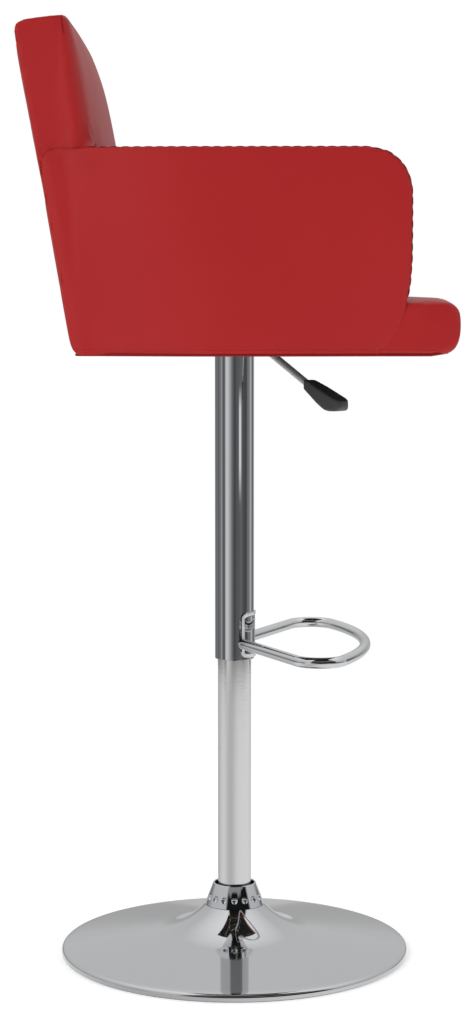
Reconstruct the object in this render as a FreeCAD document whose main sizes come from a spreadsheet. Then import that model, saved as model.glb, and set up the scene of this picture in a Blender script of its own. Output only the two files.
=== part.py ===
import FreeCAD, Part
import math
import os

import Sketcher
from FreeCAD import Placement, Rotation, Vector

# Adjustable swivel stool: a trumpet foot, a gas column in two tubes, a padded seat shell
# with arms, a foot loop and a height lever. Millimetres. +Z is up, +X is the way the
# sitter faces, +Y is the sitter's left. The origin is on the floor, on the column's axis.

doc = FreeCAD.newDocument("stool")
sheet = doc.addObject("Spreadsheet::Sheet", "Sizes")


# ---------------------------------------------------------------- sizes and expressions

class Dim:
    """A size: its number now, and the expression that ties it to the sheet."""

    def __init__(self, number, text):
        self.number = float(number)
        self.text = text

    def __add__(self, other):
        other = as_dim(other)
        return Dim(self.number + other.number, f"({self.text} + {other.text})")

    def __sub__(self, other):
        other = as_dim(other)
        return Dim(self.number - other.number, f"({self.text} - {other.text})")

    def __mul__(self, other):
        other = as_dim(other)
        return Dim(self.number * other.number, f"({self.text} * {other.text})")

    def __truediv__(self, other):
        other = as_dim(other)
        return Dim(self.number / other.number, f"({self.text} / {other.text})")

    def __neg__(self):
        return as_dim(0) - self

    def __radd__(self, other):
        return as_dim(other) + self

    def __rsub__(self, other):
        return as_dim(other) - self

    def __rmul__(self, other):
        return as_dim(other) * self


def as_dim(value):
    return value if isinstance(value, Dim) else Dim(value, f"{float(value):.6f}")


def size(alias, number):
    """Adds one driving dimension to the sheet."""
    row = size.rows = getattr(size, "rows", 0) + 1
    sheet.set(f"A{row}", alias.replace("_", " "))
    sheet.set(f"B{row}", str(number))
    sheet.setAlias(f"B{row}", alias)
    return Dim(number, f"Sizes.{alias}")


def sine(angle):
    return Dim(math.sin(math.radians(angle.number)), f"sin({angle.text} * 1 deg)")


def cosine(angle):
    return Dim(math.cos(math.radians(angle.number)), f"cos({angle.text} * 1 deg)")


def tangent(angle):
    return Dim(math.tan(math.radians(angle.number)), f"tan({angle.text} * 1 deg)")


def root(value):
    return Dim(math.sqrt(value.number), f"sqrt({value.text})")


# Foot
base_radius = size("base_radius", 205)
skirt_height = size("skirt_height", 4)
rim_inset = size("rim_inset", 2)
rim_height = size("rim_height", 4)
rim_round = size("rim_round", 4.5)
cone_slope = size("cone_slope", 8.5)
neck_slope = size("neck_slope", 50)
neck_sweep = size("neck_sweep", 90)
shell_wall = size("shell_wall", 2)
shell_lift = size("shell_lift", 1)
floor_ring_width = size("floor_ring_width", 10)
floor_ring_height = size("floor_ring_height", 3)
brace_thickness = size("brace_thickness", 4)
brace_width = size("brace_width", 32)
brace_hole = size("brace_hole", 13)
ballast_radius = size("ballast_radius", 138)
ballast_thickness = size("ballast_thickness", 7)
hub_wall = size("hub_wall", 3.35)
hub_rise = size("hub_rise", 17)
neck_lip = size("neck_lip", 5)
neck_ring_drop = size("neck_ring_drop", 10)
neck_ring_height = size("neck_ring_height", 3)
neck_ring_reach = size("neck_ring_reach", 2.4)
collar_height = size("collar_height", 26)
collar_gap = size("collar_gap", 5.7)
collar_flare = size("collar_flare", 9.5)
collar_lip = size("collar_lip", 1)
collar_lip_round = size("collar_lip_round", 1.02)
collar_wall = size("collar_wall", 2)
dimple_count = size("dimple_count", 16)
dimple_share = size("dimple_share", 0.42)
dimple_radius = size("dimple_radius", 4)
dimple_depth = size("dimple_depth", 1)

# Column
running_gap = size("running_gap", 0.05)
weld_gap = size("weld_gap", 0.05)
soft_gap = size("soft_gap", 0.3)
slot_gap = size("slot_gap", 1.5)
tube_radius = size("tube_radius", 19.6)
tube_wall = size("tube_wall", 1.5)
tube_foot = size("tube_foot", 8)
end_plate_height = size("end_plate_height", 12)
end_plate_thickness = size("end_plate_thickness", 4)
race_thickness = size("race_thickness", 2)
race_radius = size("race_radius", 15)
ball_radius = size("ball_radius", 2)
ball_play = size("ball_play", 0.02)
ball_count = size("ball_count", 12)
cage_thickness = size("cage_thickness", 1.4)
cage_half_width = size("cage_half_width", 3)
cage_play = size("cage_play", 0.1)
rod_radius = size("rod_radius", 5)
rod_foot = size("rod_foot", 6)
groove_depth = size("groove_depth", 1)
shoulder_width = size("shoulder_width", 4)
shoulder_height = size("shoulder_height", 4)
bump_radius = size("bump_radius", 13)
bump_length = size("bump_length", 36)
clip_thickness = size("clip_thickness", 1.2)
clip_width = size("clip_width", 3)
clip_mouth = size("clip_mouth", 5)
washer_thickness = size("washer_thickness", 2)
stroke = size("stroke", 210)
cylinder_radius = size("cylinder_radius", 14)
cylinder_wall = size("cylinder_wall", 2)
cylinder_taper = size("cylinder_taper", 0.8)
cylinder_lip = size("cylinder_lip", 2)
lip_bore_gap = size("lip_bore_gap", 2)
seal_thickness = size("seal_thickness", 4)
rod_guide_length = size("rod_guide_length", 18)
piston_length = size("piston_length", 12)
piston_groove = size("piston_groove", 4)
piston_seal_depth = size("piston_seal_depth", 2.5)
rod_end = size("rod_end", 3)
valve_length = size("valve_length", 26)
pin_radius = size("pin_radius", 3)
pin_reach = size("pin_reach", 9.7)
pin_length = size("pin_length", 27.7)
bush_length = size("bush_length", 68)
bush_flange = size("bush_flange", 3)
sleeve_gap = size("sleeve_gap", 1.7)
sleeve_wall = size("sleeve_wall", 1.5)
glide_length = size("glide_length", 14)
glide_inset = size("glide_inset", 1)
lowered_clearance = size("lowered_clearance", 58)
socket_wall = size("socket_wall", 3.95)
socket_length = size("socket_length", 48)
socket_rise = size("socket_rise", 5)
socket_clearance = size("socket_clearance", 15)

# Seat frame
frame_underside = size("frame_underside", 713)
front_padding = size("front_padding", 15)
side_padding = size("side_padding", 8)
frame_setback = size("frame_setback", 6)
rail_wall = size("rail_wall", 20)
rail_height = size("rail_height", 23)
board_thickness = size("board_thickness", 12)
plate_size = size("plate_size", 142)
plate_thickness = size("plate_thickness", 3)
plate_corner = size("plate_corner", 12)
bolt_spacing = size("bolt_spacing", 116)
bolt_radius = size("bolt_radius", 4)
bolt_clearance = size("bolt_clearance", 0.4)
bolt_play = size("bolt_play", 0.5)
bolt_tip = size("bolt_tip", 0.5)
bore_run = size("bore_run", 5)
head_radius = size("head_radius", 7.2)
head_height = size("head_height", 5)
flat_washer = size("flat_washer", 1.6)
nut_height = size("nut_height", 6)
tee_flange = size("tee_flange", 1.5)
tee_radius = size("tee_radius", 10)
tee_wall = size("tee_wall", 1.4)
screw_radius = size("screw_radius", 2)
screw_length = size("screw_length", 30)
screw_head_height = size("screw_head_height", 1)
screw_inset = size("screw_inset", 30)

# Lever
cup_reach = size("cup_reach", 20)
cup_wall = size("cup_wall", 2.5)
cup_height = size("cup_height", 20)
lever_heading = size("lever_heading", -45)
lever_radius = size("lever_radius", 4)
lever_droop = size("lever_droop", 30)
lever_bend = size("lever_bend", 14)
lever_bend_start = size("lever_bend_start", 26)
lever_reach = size("lever_reach", 146)
lever_tail = size("lever_tail", 5)
pivot_gap = size("pivot_gap", 4.5)
pivot_radius = size("pivot_radius", 2.5)
boss_radius = size("boss_radius", 5.5)
boss_length = size("boss_length", 10)
ear_gap = size("ear_gap", 0.5)
ear_thickness = size("ear_thickness", 2.5)
ear_length = size("ear_length", 11)
pin_gap = size("pin_gap", 0.3)
grip_start = size("grip_start", 116)
grip_length = size("grip_length", 58)
grip_thickness = size("grip_thickness", 14)
grip_width = size("grip_width", 26)
grip_round = size("grip_round", 3.5)
grip_socket = size("grip_socket", 12)
grip_brow = size("grip_brow", 10)
grip_heel = size("grip_heel", 4.2)
grip_sole = size("grip_sole", 42)
grip_tip = size("grip_tip", 11)
grip_nose = size("grip_nose", 5)

# Upholstery
hem_drop = size("hem_drop", 1.5)
seat_front = size("seat_front", 241)
seat_half_width = size("seat_half_width", 204)
seat_thickness = size("seat_thickness", 60)
seat_round = size("seat_round", 9)
seat_corner = size("seat_corner", 14)
ear_inset = size("ear_inset", 12)
ear_tip = size("ear_tip", 14)
foam_gap = size("foam_gap", 0.2)
back_lean = size("back_lean", 10.17)
back_rear = size("back_rear", -170.5)
back_thickness = size("back_thickness", 71)
back_height = size("back_height", 357)
back_side_inset = size("back_side_inset", 20)
back_rear_round = size("back_rear_round", 16)
back_front_round = size("back_front_round", 26)
back_board_inset = size("back_board_inset", 22)
back_board_margin = size("back_board_margin", 24)
back_board_side = size("back_board_side", 14)
back_bolt_share = size("back_bolt_share", 0.6)
arm_thickness = size("arm_thickness", 45.7)
arm_height = size("arm_height", 217.6)
arm_front = size("arm_front", 186)
arm_front_round = size("arm_front_round", 47)
arm_toe_round = size("arm_toe_round", 60)
arm_rear_round = size("arm_rear_round", 24)
arm_board_margin = size("arm_board_margin", 16)
arm_board_depth = size("arm_board_depth", 19)
arm_board_thickness = size("arm_board_thickness", 15)
arm_board_chamfer = size("arm_board_chamfer", 40)
arm_board_toe = size("arm_board_toe", 44)
side_bolt_height = size("side_bolt_height", 11)
side_bolt_rear = size("side_bolt_rear", -30)
side_bolt_front = size("side_bolt_front", 110)
counterbore_depth = size("counterbore_depth", 6)
cover_thickness = size("cover_thickness", 0.8)
cover_hole = size("cover_hole", 82)

# Foot loop
loop_height = size("loop_height", 370.5)
loop_front = size("loop_front", 153)
loop_half_width = size("loop_half_width", 160)
loop_bow = size("loop_bow", 330)
loop_corner = size("loop_corner", 28)
loop_tube_radius = size("loop_tube_radius", 6.25)
loop_tube_wall = size("loop_tube_wall", 1.25)
saddle_wall = size("saddle_wall", 2.2)
saddle_angle = size("saddle_angle", 70)
saddle_foot = size("saddle_foot", 3)
saddle_height = size("saddle_height", 53)
saddle_round = size("saddle_round", 7)

# Places worked out from those sizes
tube_inner = tube_radius - tube_wall
sleeve_inner = tube_radius + sleeve_gap
sleeve_radius = sleeve_inner + sleeve_wall
collar_top_radius = tube_radius + collar_gap
neck_radius = collar_top_radius + collar_flare
rim_radius = base_radius - rim_inset
rim_top = shell_lift + skirt_height + rim_height
neck_start = neck_radius + neck_sweep * (sine(neck_slope) - sine(cone_slope))
neck_foot = rim_top + (rim_radius - neck_start) * tangent(cone_slope)
neck_top = neck_foot + neck_sweep * (cosine(cone_slope) - cosine(neck_slope))
collar_top = neck_top + collar_height
hub_inner = tube_radius + running_gap
hub_outer = hub_inner + hub_wall
race_base = end_plate_height + end_plate_thickness
ball_circle = race_radius - ball_radius * 2
ball_height = race_base + race_thickness + ball_radius
race_top = ball_height + ball_radius
shoulder_radius = rod_radius + shoulder_width
shoulder_base = race_top + race_thickness
bump_base = shoulder_base + shoulder_height
bump_top = bump_base + bump_length
cylinder_foot = bump_top + soft_gap + stroke
cylinder_inner = cylinder_radius - cylinder_wall
cylinder_neck_radius = cylinder_radius - cylinder_taper
guide_base = cylinder_foot + cylinder_lip + seal_thickness
guide_top = guide_base + rod_guide_length
piston_base = guide_top + soft_gap
piston_radius = cylinder_inner - running_gap
rod_top = piston_base + piston_length + rod_end
cylinder_top = frame_underside - 1
sleeve_foot = collar_top + lowered_clearance + stroke
socket_foot = frame_underside - socket_length
socket_outer = cylinder_radius + running_gap + socket_wall
cup_radius = socket_outer + cup_reach
pivot_reach = socket_outer + pivot_gap
tube_top = socket_foot - stroke - socket_clearance - bush_flange
plate_under = frame_underside + cup_height
board_under = frame_underside + rail_height
board_top = board_under + board_thickness
underside = frame_underside - hem_drop
back_slope = tangent(back_lean)
seat_top = underside + seat_thickness
frame_front = seat_front - front_padding
frame_half_width = seat_half_width - side_padding
arm_inner = seat_half_width + soft_gap
arm_outer = arm_inner + arm_thickness
back_half_width = arm_outer - back_side_inset
back_board_half_width = seat_half_width - back_board_side
arm_top = underside + arm_height
back_top = underside + back_height
side_bolt_level = frame_underside + side_bolt_height
lever_level = cylinder_top + pin_reach + pin_gap + lever_radius
lever_bend_end = lever_bend_start + lever_bend * sine(lever_droop)
lever_bend_top = lever_level - lever_bend * (1 - cosine(lever_droop))


def back_line(inset, level):
    """X of a line parallel to the back's rear face, that far in front of it."""
    return back_rear + inset - (level - underside) * back_slope


frame_rear = back_line(back_thickness, underside) + frame_setback


# ---------------------------------------------------------------- modelling helpers

def bind(thing, prop, dim):
    thing.setExpression(prop, as_dim(dim).text)


def new_body(label):
    body = doc.addObject("PartDesign::Body", label)
    body.Label = label
    return body


def new_sketch(body, plane, offset=0):
    """A sketch on one of the body's own origin planes, moved along the plane's normal."""
    sketch = body.newObject("Sketcher::SketchObject", "outline")
    support = next(f for f in body.Origin.OriginFeatures if f.Role == plane)
    sketch.AttachmentSupport = (support, [""])
    sketch.MapMode = "FlatFace"
    offset = as_dim(offset)
    sketch.AttachmentOffset = Placement(Vector(0, 0, offset.number), Rotation())
    bind(sketch, "AttachmentOffset.Base.z", offset)
    return sketch


def pin_point(sketch, geometry, end, x, y):
    """Ties one end of a line or arc to its distances from the sketch's origin."""
    for kind, dim in (("DistanceX", as_dim(x)), ("DistanceY", as_dim(y))):
        index = sketch.addConstraint(
            Sketcher.Constraint(kind, -1, 1, geometry, end, dim.number))
        bind(sketch, f"Constraints[{index}]", dim)


def draw_line(sketch, start, end):
    index = sketch.addGeometry(Part.LineSegment(start, end), False)
    return index, 1, 2


def draw_arc(sketch, start, end, radius, side):
    """An arc whose centre lies to the left of the way from start to end when side is 1."""
    chord = end - start
    half = chord.Length / 2
    across = Vector(-chord.y, chord.x, 0).normalize()
    centre = start + chord * 0.5 + across * (side * math.sqrt(radius.number ** 2 - half ** 2))
    first, last = (start, end) if side > 0 else (end, start)
    angles = [math.atan2(p.y - centre.y, p.x - centre.x) for p in (first, last)]
    circle = Part.Circle(centre, Vector(0, 0, 1), radius.number)
    index = sketch.addGeometry(Part.ArcOfCircle(circle, *angles), False)
    rule = sketch.addConstraint(Sketcher.Constraint("Radius", index, radius.number))
    bind(sketch, f"Constraints[{rule}]", radius)
    return (index, 1, 2) if side > 0 else (index, 2, 1)


def draw_loop(sketch, corners, closed=True):
    """Joins the corners. A corner (x, y, radius, side) starts an arc instead of a line."""
    points = [Vector(as_dim(c[0]).number, as_dim(c[1]).number, 0) for c in corners]
    edges = []
    for i, corner in enumerate(corners if closed else corners[:-1]):
        start, end = points[i], points[(i + 1) % len(points)]
        if len(corner) == 4:
            edges.append(draw_arc(sketch, start, end, as_dim(corner[2]), corner[3]))
        else:
            edges.append(draw_line(sketch, start, end))
    for i, (index, start, end) in enumerate(edges):
        if closed or i + 1 < len(edges):
            following = edges[(i + 1) % len(edges)]
            sketch.addConstraint(
                Sketcher.Constraint("Coincident", index, end, following[0], following[1]))
        pin_point(sketch, index, start, corners[i][0], corners[i][1])
    if not closed:
        pin_point(sketch, edges[-1][0], edges[-1][2], corners[-1][0], corners[-1][1])


def draw_circle(sketch, x, y, radius):
    x, y, radius = as_dim(x), as_dim(y), as_dim(radius)
    circle = Part.Circle(Vector(x.number, y.number, 0), Vector(0, 0, 1), radius.number)
    index = sketch.addGeometry(circle, False)
    pin_point(sketch, index, 3, x, y)
    rule = sketch.addConstraint(Sketcher.Constraint("Radius", index, radius.number))
    bind(sketch, f"Constraints[{rule}]", radius)


def rectangle(left, right, low, high):
    return [(left, low), (right, low), (right, high), (left, high)]


def extrude(body, sketch, length, kind="Pad", symmetric=False):
    feature = body.newObject(f"PartDesign::{kind}", kind.lower())
    feature.Profile = sketch
    feature.SideType = "Symmetric" if symmetric else "One side"
    bind(feature, "Length", length)
    return feature


def pad(body, plane, corners, length, offset=0, symmetric=False):
    sketch = new_sketch(body, plane, offset)
    draw_loop(sketch, corners)
    return extrude(body, sketch, length, "Pad", symmetric)


def pocket(body, plane, corners, length, offset=0, symmetric=False):
    """Cuts against the plane's normal, from the offset, or both ways when symmetric."""
    sketch = new_sketch(body, plane, offset)
    draw_loop(sketch, corners)
    return extrude(body, sketch, length, "Pocket", symmetric)


def drill(body, plane, holes, radius, length, offset=0, symmetric=False):
    sketch = new_sketch(body, plane, offset)
    for x, y in holes:
        draw_circle(sketch, x, y, radius)
    return extrude(body, sketch, length, "Pocket", symmetric)


def turn(body, corners, kind="Revolution"):
    """A full turn of an outline of (radius, height) corners about the Z axis."""
    sketch = new_sketch(body, "XZ_Plane")
    draw_loop(sketch, corners)
    feature = body.newObject(f"PartDesign::{kind}", kind.lower())
    feature.Profile = sketch
    feature.ReferenceAxis = (sketch, ["V_Axis"])
    feature.Angle = 360
    return feature


def turned(label, corners):
    body = new_body(label)
    turn(body, corners)
    return body


def ring(label, inner, outer, low, high):
    return turned(label, rectangle(inner, outer, low, high))


def round_edges(body, radius, wanted):
    """Fillets the edges of the body's last feature for which wanted(edge) is true."""
    doc.recompute()
    base = body.Tip
    names = [f"Edge{i}" for i, edge in enumerate(base.Shape.Edges, 1) if wanted(edge)]
    fillet = body.newObject("PartDesign::Fillet", "fillet")
    fillet.Base = (base, names)
    bind(fillet, "Radius", radius)
    return fillet


def along(edge, axis):
    """True when an edge is a straight line along that axis."""
    direction = edge.Vertexes[-1].Point - edge.Vertexes[0].Point
    return direction.Length > 0 and abs(direction.normalize().dot(axis)) > 0.999


def near(edge, x=None, y=None, z=None, reach=0.5):
    centre = edge.CenterOfGravity
    pairs = ((x, centre.x), (y, centre.y), (z, centre.z))
    return all(want is None or abs(as_dim(want).number - have) < reach for want, have in pairs)


def cylinder(radius, length, place, direction=Vector(0, 0, 1)):
    """A Part cylinder that starts at place, a triple of sizes, and runs along direction."""
    solid = doc.addObject("Part::Cylinder", "rod")
    solid.Placement = Placement(Vector(), Rotation(Vector(0, 0, 1), direction))
    bind(solid, "Radius", radius)
    bind(solid, "Height", length)
    for letter, dim in zip("xyz", place):
        bind(solid, f"Placement.Base.{letter}", dim)
    return solid


def hexagon(radius, length, place, direction=Vector(0, 0, 1)):
    solid = doc.addObject("Part::Prism", "hexagon")
    solid.Polygon = 6
    solid.Placement = Placement(Vector(), Rotation(Vector(0, 0, 1), direction))
    bind(solid, "Circumradius", radius)
    bind(solid, "Height", length)
    for letter, dim in zip("xyz", place):
        bind(solid, f"Placement.Base.{letter}", dim)
    return solid


def fuse(first, second):
    joined = doc.addObject("Part::Fuse", "joined")
    joined.Base, joined.Tool = first, second
    return joined


def cut(base, tool):
    rest = doc.addObject("Part::Cut", "rest")
    rest.Base, rest.Tool = base, tool
    return rest


def group(label, solids):
    """Several equal fasteners as one sub-part of separate solids."""
    compound = doc.addObject("Part::Compound", label)
    compound.Label = label
    compound.Links = solids
    return compound


def step(place, axis, distance):
    """A place moved by a distance along x, y or z."""
    moved = list(place)
    moved["xyz".index(axis)] = as_dim(moved["xyz".index(axis)]) + distance
    return moved


subparts = []


def keep(*pieces):
    subparts.extend(pieces)


# ---------------------------------------------------------------- foot

def make_base_shell():
    """The pressed trumpet: an upright skirt, a shallow cone and a hollow sweep up to the neck."""
    inner_sweep = neck_sweep + shell_wall
    lip_run = neck_lip / tangent(neck_slope)
    drop_x = shell_wall * sine(neck_slope)
    drop_z = shell_wall * cosine(neck_slope)
    cone_x = shell_wall * sine(cone_slope)
    cone_z = shell_wall * cosine(cone_slope)
    skirt_top = shell_lift + skirt_height
    return turned("base_shell", [
        (base_radius - shell_wall, shell_lift),
        (base_radius, shell_lift),
        (base_radius, skirt_top, rim_round, 1),
        (rim_radius, rim_top),
        (neck_start, neck_foot, neck_sweep, -1),
        (neck_radius, neck_top),
        (neck_radius - lip_run, neck_top + neck_lip),
        (neck_radius - lip_run - drop_x, neck_top + neck_lip - drop_z),
        (neck_radius - drop_x, neck_top - drop_z, inner_sweep, 1),
        (neck_start - cone_x, neck_foot - cone_z),
        (rim_radius - shell_wall, rim_top - cone_z),
        (base_radius - shell_wall, skirt_top),
    ])


def make_floor_ring():
    outer = base_radius - shell_wall - weld_gap
    return ring("floor_ring", outer - floor_ring_width, outer, 0, floor_ring_height)


def make_base_brace():
    """Two flat bars that cross under the hub and reach to the skirt."""
    body = new_body("base_brace")
    reach = base_radius - shell_wall - rim_height
    half = brace_width / 2
    pad(body, "XY_Plane", [
        (half, half), (reach, half), (reach, -half), (half, -half),
        (half, -reach), (-half, -reach), (-half, -half), (-reach, -half),
        (-reach, half), (-half, half), (-half, reach), (half, reach),
    ], brace_thickness, floor_ring_height)
    drill(body, "XY_Plane", [(0, 0)], brace_hole, brace_thickness * 4,
          floor_ring_height, symmetric=True)
    return body


def make_ballast_disc():
    foot = floor_ring_height + brace_thickness
    return ring("ballast_disc", hub_outer + weld_gap, ballast_radius,
                foot, foot + ballast_thickness)


def make_hub_tube():
    return ring("hub_tube", hub_inner, hub_outer, floor_ring_height + brace_thickness,
                neck_top + hub_rise)


def make_neck_ring():
    """The flat ring that welds the hub to the inside of the trumpet's neck."""
    foot = neck_top - neck_ring_drop
    return ring("neck_ring", hub_outer + weld_gap, neck_radius + neck_ring_reach,
                foot, foot + neck_ring_height)


def make_trim_collar():
    """A conical trim ring over the neck, with a rolled lip and a row of round dimples."""
    seat_rise = collar_wall * tangent(neck_slope) + weld_gap
    lip_foot = collar_top - collar_lip
    dimple_level = collar_height * dimple_share
    dimple_lean = dimple_level * collar_flare / collar_height
    body = turned("trim_collar", [
        (neck_radius, neck_top + weld_gap),
        (collar_top_radius, lip_foot, collar_lip_round, 1),
        (collar_top_radius - collar_lip * 2, lip_foot),
        (neck_radius - collar_wall, neck_top + seat_rise),
    ])
    dimple = body.newObject("PartDesign::SubtractiveSphere", "dimple")
    bind(dimple, "Radius", dimple_radius)
    bind(dimple, "Placement.Base.x", neck_radius - dimple_lean + dimple_radius - dimple_depth)
    bind(dimple, "Placement.Base.z", neck_top + dimple_level)
    pattern = body.newObject("PartDesign::PolarPattern", "dimples")
    pattern.Originals = [dimple]
    pattern.Axis = (body.Origin.OriginFeatures[2], [""])
    pattern.Angle = 360
    bind(pattern, "Occurrences", dimple_count)
    body.Tip = pattern
    return body


# ---------------------------------------------------------------- column, fixed and turning

def make_standing_tube():
    return ring("standing_tube", tube_inner, tube_radius, tube_foot, tube_top)


def make_guide_bush():
    """The nylon bush in the top of the standing tube, where the gas cylinder slides."""
    bore = cylinder_radius + running_gap
    return turned("guide_bush", [
        (bore, tube_top - bush_length), (tube_inner, tube_top - bush_length),
        (tube_inner, tube_top), (tube_radius, tube_top),
        (tube_radius, tube_top + bush_flange), (bore, tube_top + bush_flange),
    ])


def make_end_plate():
    return ring("tube_end_plate", rod_radius + running_gap, tube_inner,
                end_plate_height, race_base)


def make_races():
    lower = ring("bearing_race_lower", rod_radius + groove_depth, race_radius,
                 race_base, race_base + race_thickness)
    upper = ring("bearing_race_upper", rod_radius + running_gap, race_radius,
                 race_top, race_top + race_thickness)
    return lower, upper


def make_bearing_balls():
    """A ring of balls, each a hair smaller than the space between the races."""
    balls = []
    for i in range(int(ball_count.number)):
        angle = as_dim(i * 360) / ball_count
        ball = doc.addObject("Part::Sphere", "ball")
        bind(ball, "Radius", ball_radius - ball_play)
        bind(ball, "Placement.Base.x", ball_circle * cosine(angle))
        bind(ball, "Placement.Base.y", ball_circle * sine(angle))
        bind(ball, "Placement.Base.z", ball_height)
        balls.append(ball)
    return group("bearing_balls", balls)


def make_ball_cage():
    body = ring("ball_cage", ball_circle - cage_half_width, ball_circle + cage_half_width,
                ball_height - cage_thickness / 2, ball_height + cage_thickness / 2)
    angles = [as_dim(i * 360) / ball_count for i in range(int(ball_count.number))]
    holes = [(ball_circle * cosine(a), ball_circle * sine(a)) for a in angles]
    drill(body, "XY_Plane", holes, ball_radius + cage_play, cage_thickness * 4,
          ball_height, symmetric=True)
    return body


def make_piston_rod():
    """The rod: a clip groove, a shoulder that sits on the bearing, a thin end for the piston."""
    groove_high = end_plate_height - washer_thickness
    groove_low = groove_high - clip_thickness - running_gap * 2
    spigot = rod_radius - groove_depth
    return turned("piston_rod", [
        (0, rod_foot), (rod_radius, rod_foot),
        (rod_radius, groove_low), (spigot, groove_low),
        (spigot, groove_high), (rod_radius, groove_high),
        (rod_radius, shoulder_base), (shoulder_radius, shoulder_base),
        (shoulder_radius, bump_base), (rod_radius, bump_base),
        (rod_radius, piston_base), (spigot, piston_base),
        (spigot, rod_top), (0, rod_top),
    ])


def make_rod_fittings():
    """What turns with the rod: its stop rubber, its washer and its retaining clip."""
    bump = ring("bump_stop", rod_radius + running_gap, bump_radius, bump_base, bump_top)
    washer_foot = end_plate_height - washer_thickness
    washer = ring("retaining_washer", rod_radius + running_gap, race_radius - washer_thickness,
                  washer_foot, end_plate_height)
    clip_high = washer_foot - running_gap
    clip = ring("retaining_clip", rod_radius - groove_depth + running_gap,
                rod_radius + clip_width, clip_high - clip_thickness, clip_high)
    pocket(clip, "XY_Plane",
           rectangle(0, rod_radius + clip_width * 2, clip_mouth / -2, clip_mouth / 2),
           clip_thickness * 8, end_plate_height, symmetric=True)
    return bump, washer, clip


def make_piston():
    bore = rod_radius - groove_depth
    groove_foot = piston_base + (piston_length - piston_groove) / 2
    groove_top = groove_foot + piston_groove
    groove_radius = piston_radius - piston_seal_depth
    piston_top = piston_base + piston_length
    body = turned("piston", [
        (bore, piston_base), (piston_radius, piston_base),
        (piston_radius, groove_foot), (groove_radius, groove_foot),
        (groove_radius, groove_top), (piston_radius, groove_top),
        (piston_radius, piston_top), (bore, piston_top),
    ])
    seal = ring("piston_seal", groove_radius, piston_radius,
                groove_foot + running_gap, groove_top - running_gap)
    return body, seal


# ---------------------------------------------------------------- column, rising

def make_pressure_tube():
    """The gas cylinder: a lip under its seal, a straight wall, and a slow taper at its top."""
    mouth = rod_radius + lip_bore_gap
    valve_radius = cylinder_neck_radius - cylinder_wall
    valve_foot = cylinder_top - valve_length
    return turned("pressure_tube", [
        (mouth, cylinder_foot), (cylinder_radius, cylinder_foot),
        (cylinder_radius, socket_foot), (cylinder_neck_radius, cylinder_top),
        (valve_radius, cylinder_top), (valve_radius, valve_foot),
        (cylinder_inner, valve_foot - cylinder_taper),
        (cylinder_inner, cylinder_foot + cylinder_lip), (mouth, cylinder_foot + cylinder_lip),
    ])


def make_cylinder_fittings():
    bore = rod_radius + running_gap
    seal = ring("rod_seal", bore, cylinder_inner, cylinder_foot + cylinder_lip, guide_base)
    guide = ring("rod_guide", bore, cylinder_inner, guide_base, guide_top)
    valve = ring("valve_body", pin_radius + running_gap, cylinder_neck_radius - cylinder_wall,
                 cylinder_top - valve_length, cylinder_top)
    return seal, guide, valve


def make_release_pin():
    top = cylinder_top + pin_reach
    return ring("release_pin", 0, pin_radius, top - pin_length, top)


def make_cover_sleeve():
    return ring("cover_sleeve", sleeve_inner, sleeve_radius, sleeve_foot, frame_underside)


def make_sleeve_glide():
    """The nylon ring in the sleeve's mouth, which runs on the standing tube."""
    foot = sleeve_foot + glide_inset
    return ring("sleeve_glide", tube_radius + running_gap, sleeve_inner, foot, foot + glide_length)


def make_taper_socket():
    bore = cylinder_radius + running_gap
    return turned("taper_socket", [
        (bore, socket_foot), (socket_outer, socket_foot),
        (socket_outer, frame_underside + socket_rise),
        (cylinder_neck_radius + running_gap, frame_underside + socket_rise),
        (cylinder_neck_radius + running_gap, cylinder_top),
    ])


# ---------------------------------------------------------------- lever and its cup

def aim(body):
    """Turns a piece that was drawn along +X to the side where the lever points."""
    body.Placement = Placement(Vector(), Rotation(Vector(0, 0, 1), lever_heading.number))
    bind(body, "Placement.Rotation.Angle", lever_heading)


def make_lever_cup():
    """The pressed cup under the plate, with a slot for the lever and two ears for its pivot."""
    floor = frame_underside + cup_wall
    hole = socket_outer + weld_gap
    slot = lever_radius + slot_gap
    ear_in = boss_length / 2 + ear_gap
    body = turned("lever_cup", [
        (hole, frame_underside), (cup_radius, frame_underside),
        (cup_radius, plate_under), (cup_radius - cup_wall, plate_under),
        (cup_radius - cup_wall, floor), (hole, floor),
    ])
    pocket(body, "XY_Plane", rectangle(pivot_reach + slot_gap * 2, cup_radius * 1.5, -slot, slot),
           cup_height * 2, plate_under - cup_wall)
    sketch = new_sketch(body, "XY_Plane", floor - cup_wall / 4)
    for side in (1, -1):
        low, high = sorted((ear_in * side, (ear_in + ear_thickness) * side),
                           key=lambda dim: dim.number)
        draw_loop(sketch, rectangle(hole, hole + ear_length, low, high))
    extrude(body, sketch, cup_height - cup_wall - slot_gap)
    drill(body, "XZ_Plane", [(pivot_reach, lever_level)], pivot_radius, boss_length * 3,
          symmetric=True)
    aim(body)
    return body


def lever_line(reach):
    """Height of the drooping part of the lever's middle line, that far from the column."""
    return lever_bend_top - (reach - lever_bend_end) * tangent(lever_droop)


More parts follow.
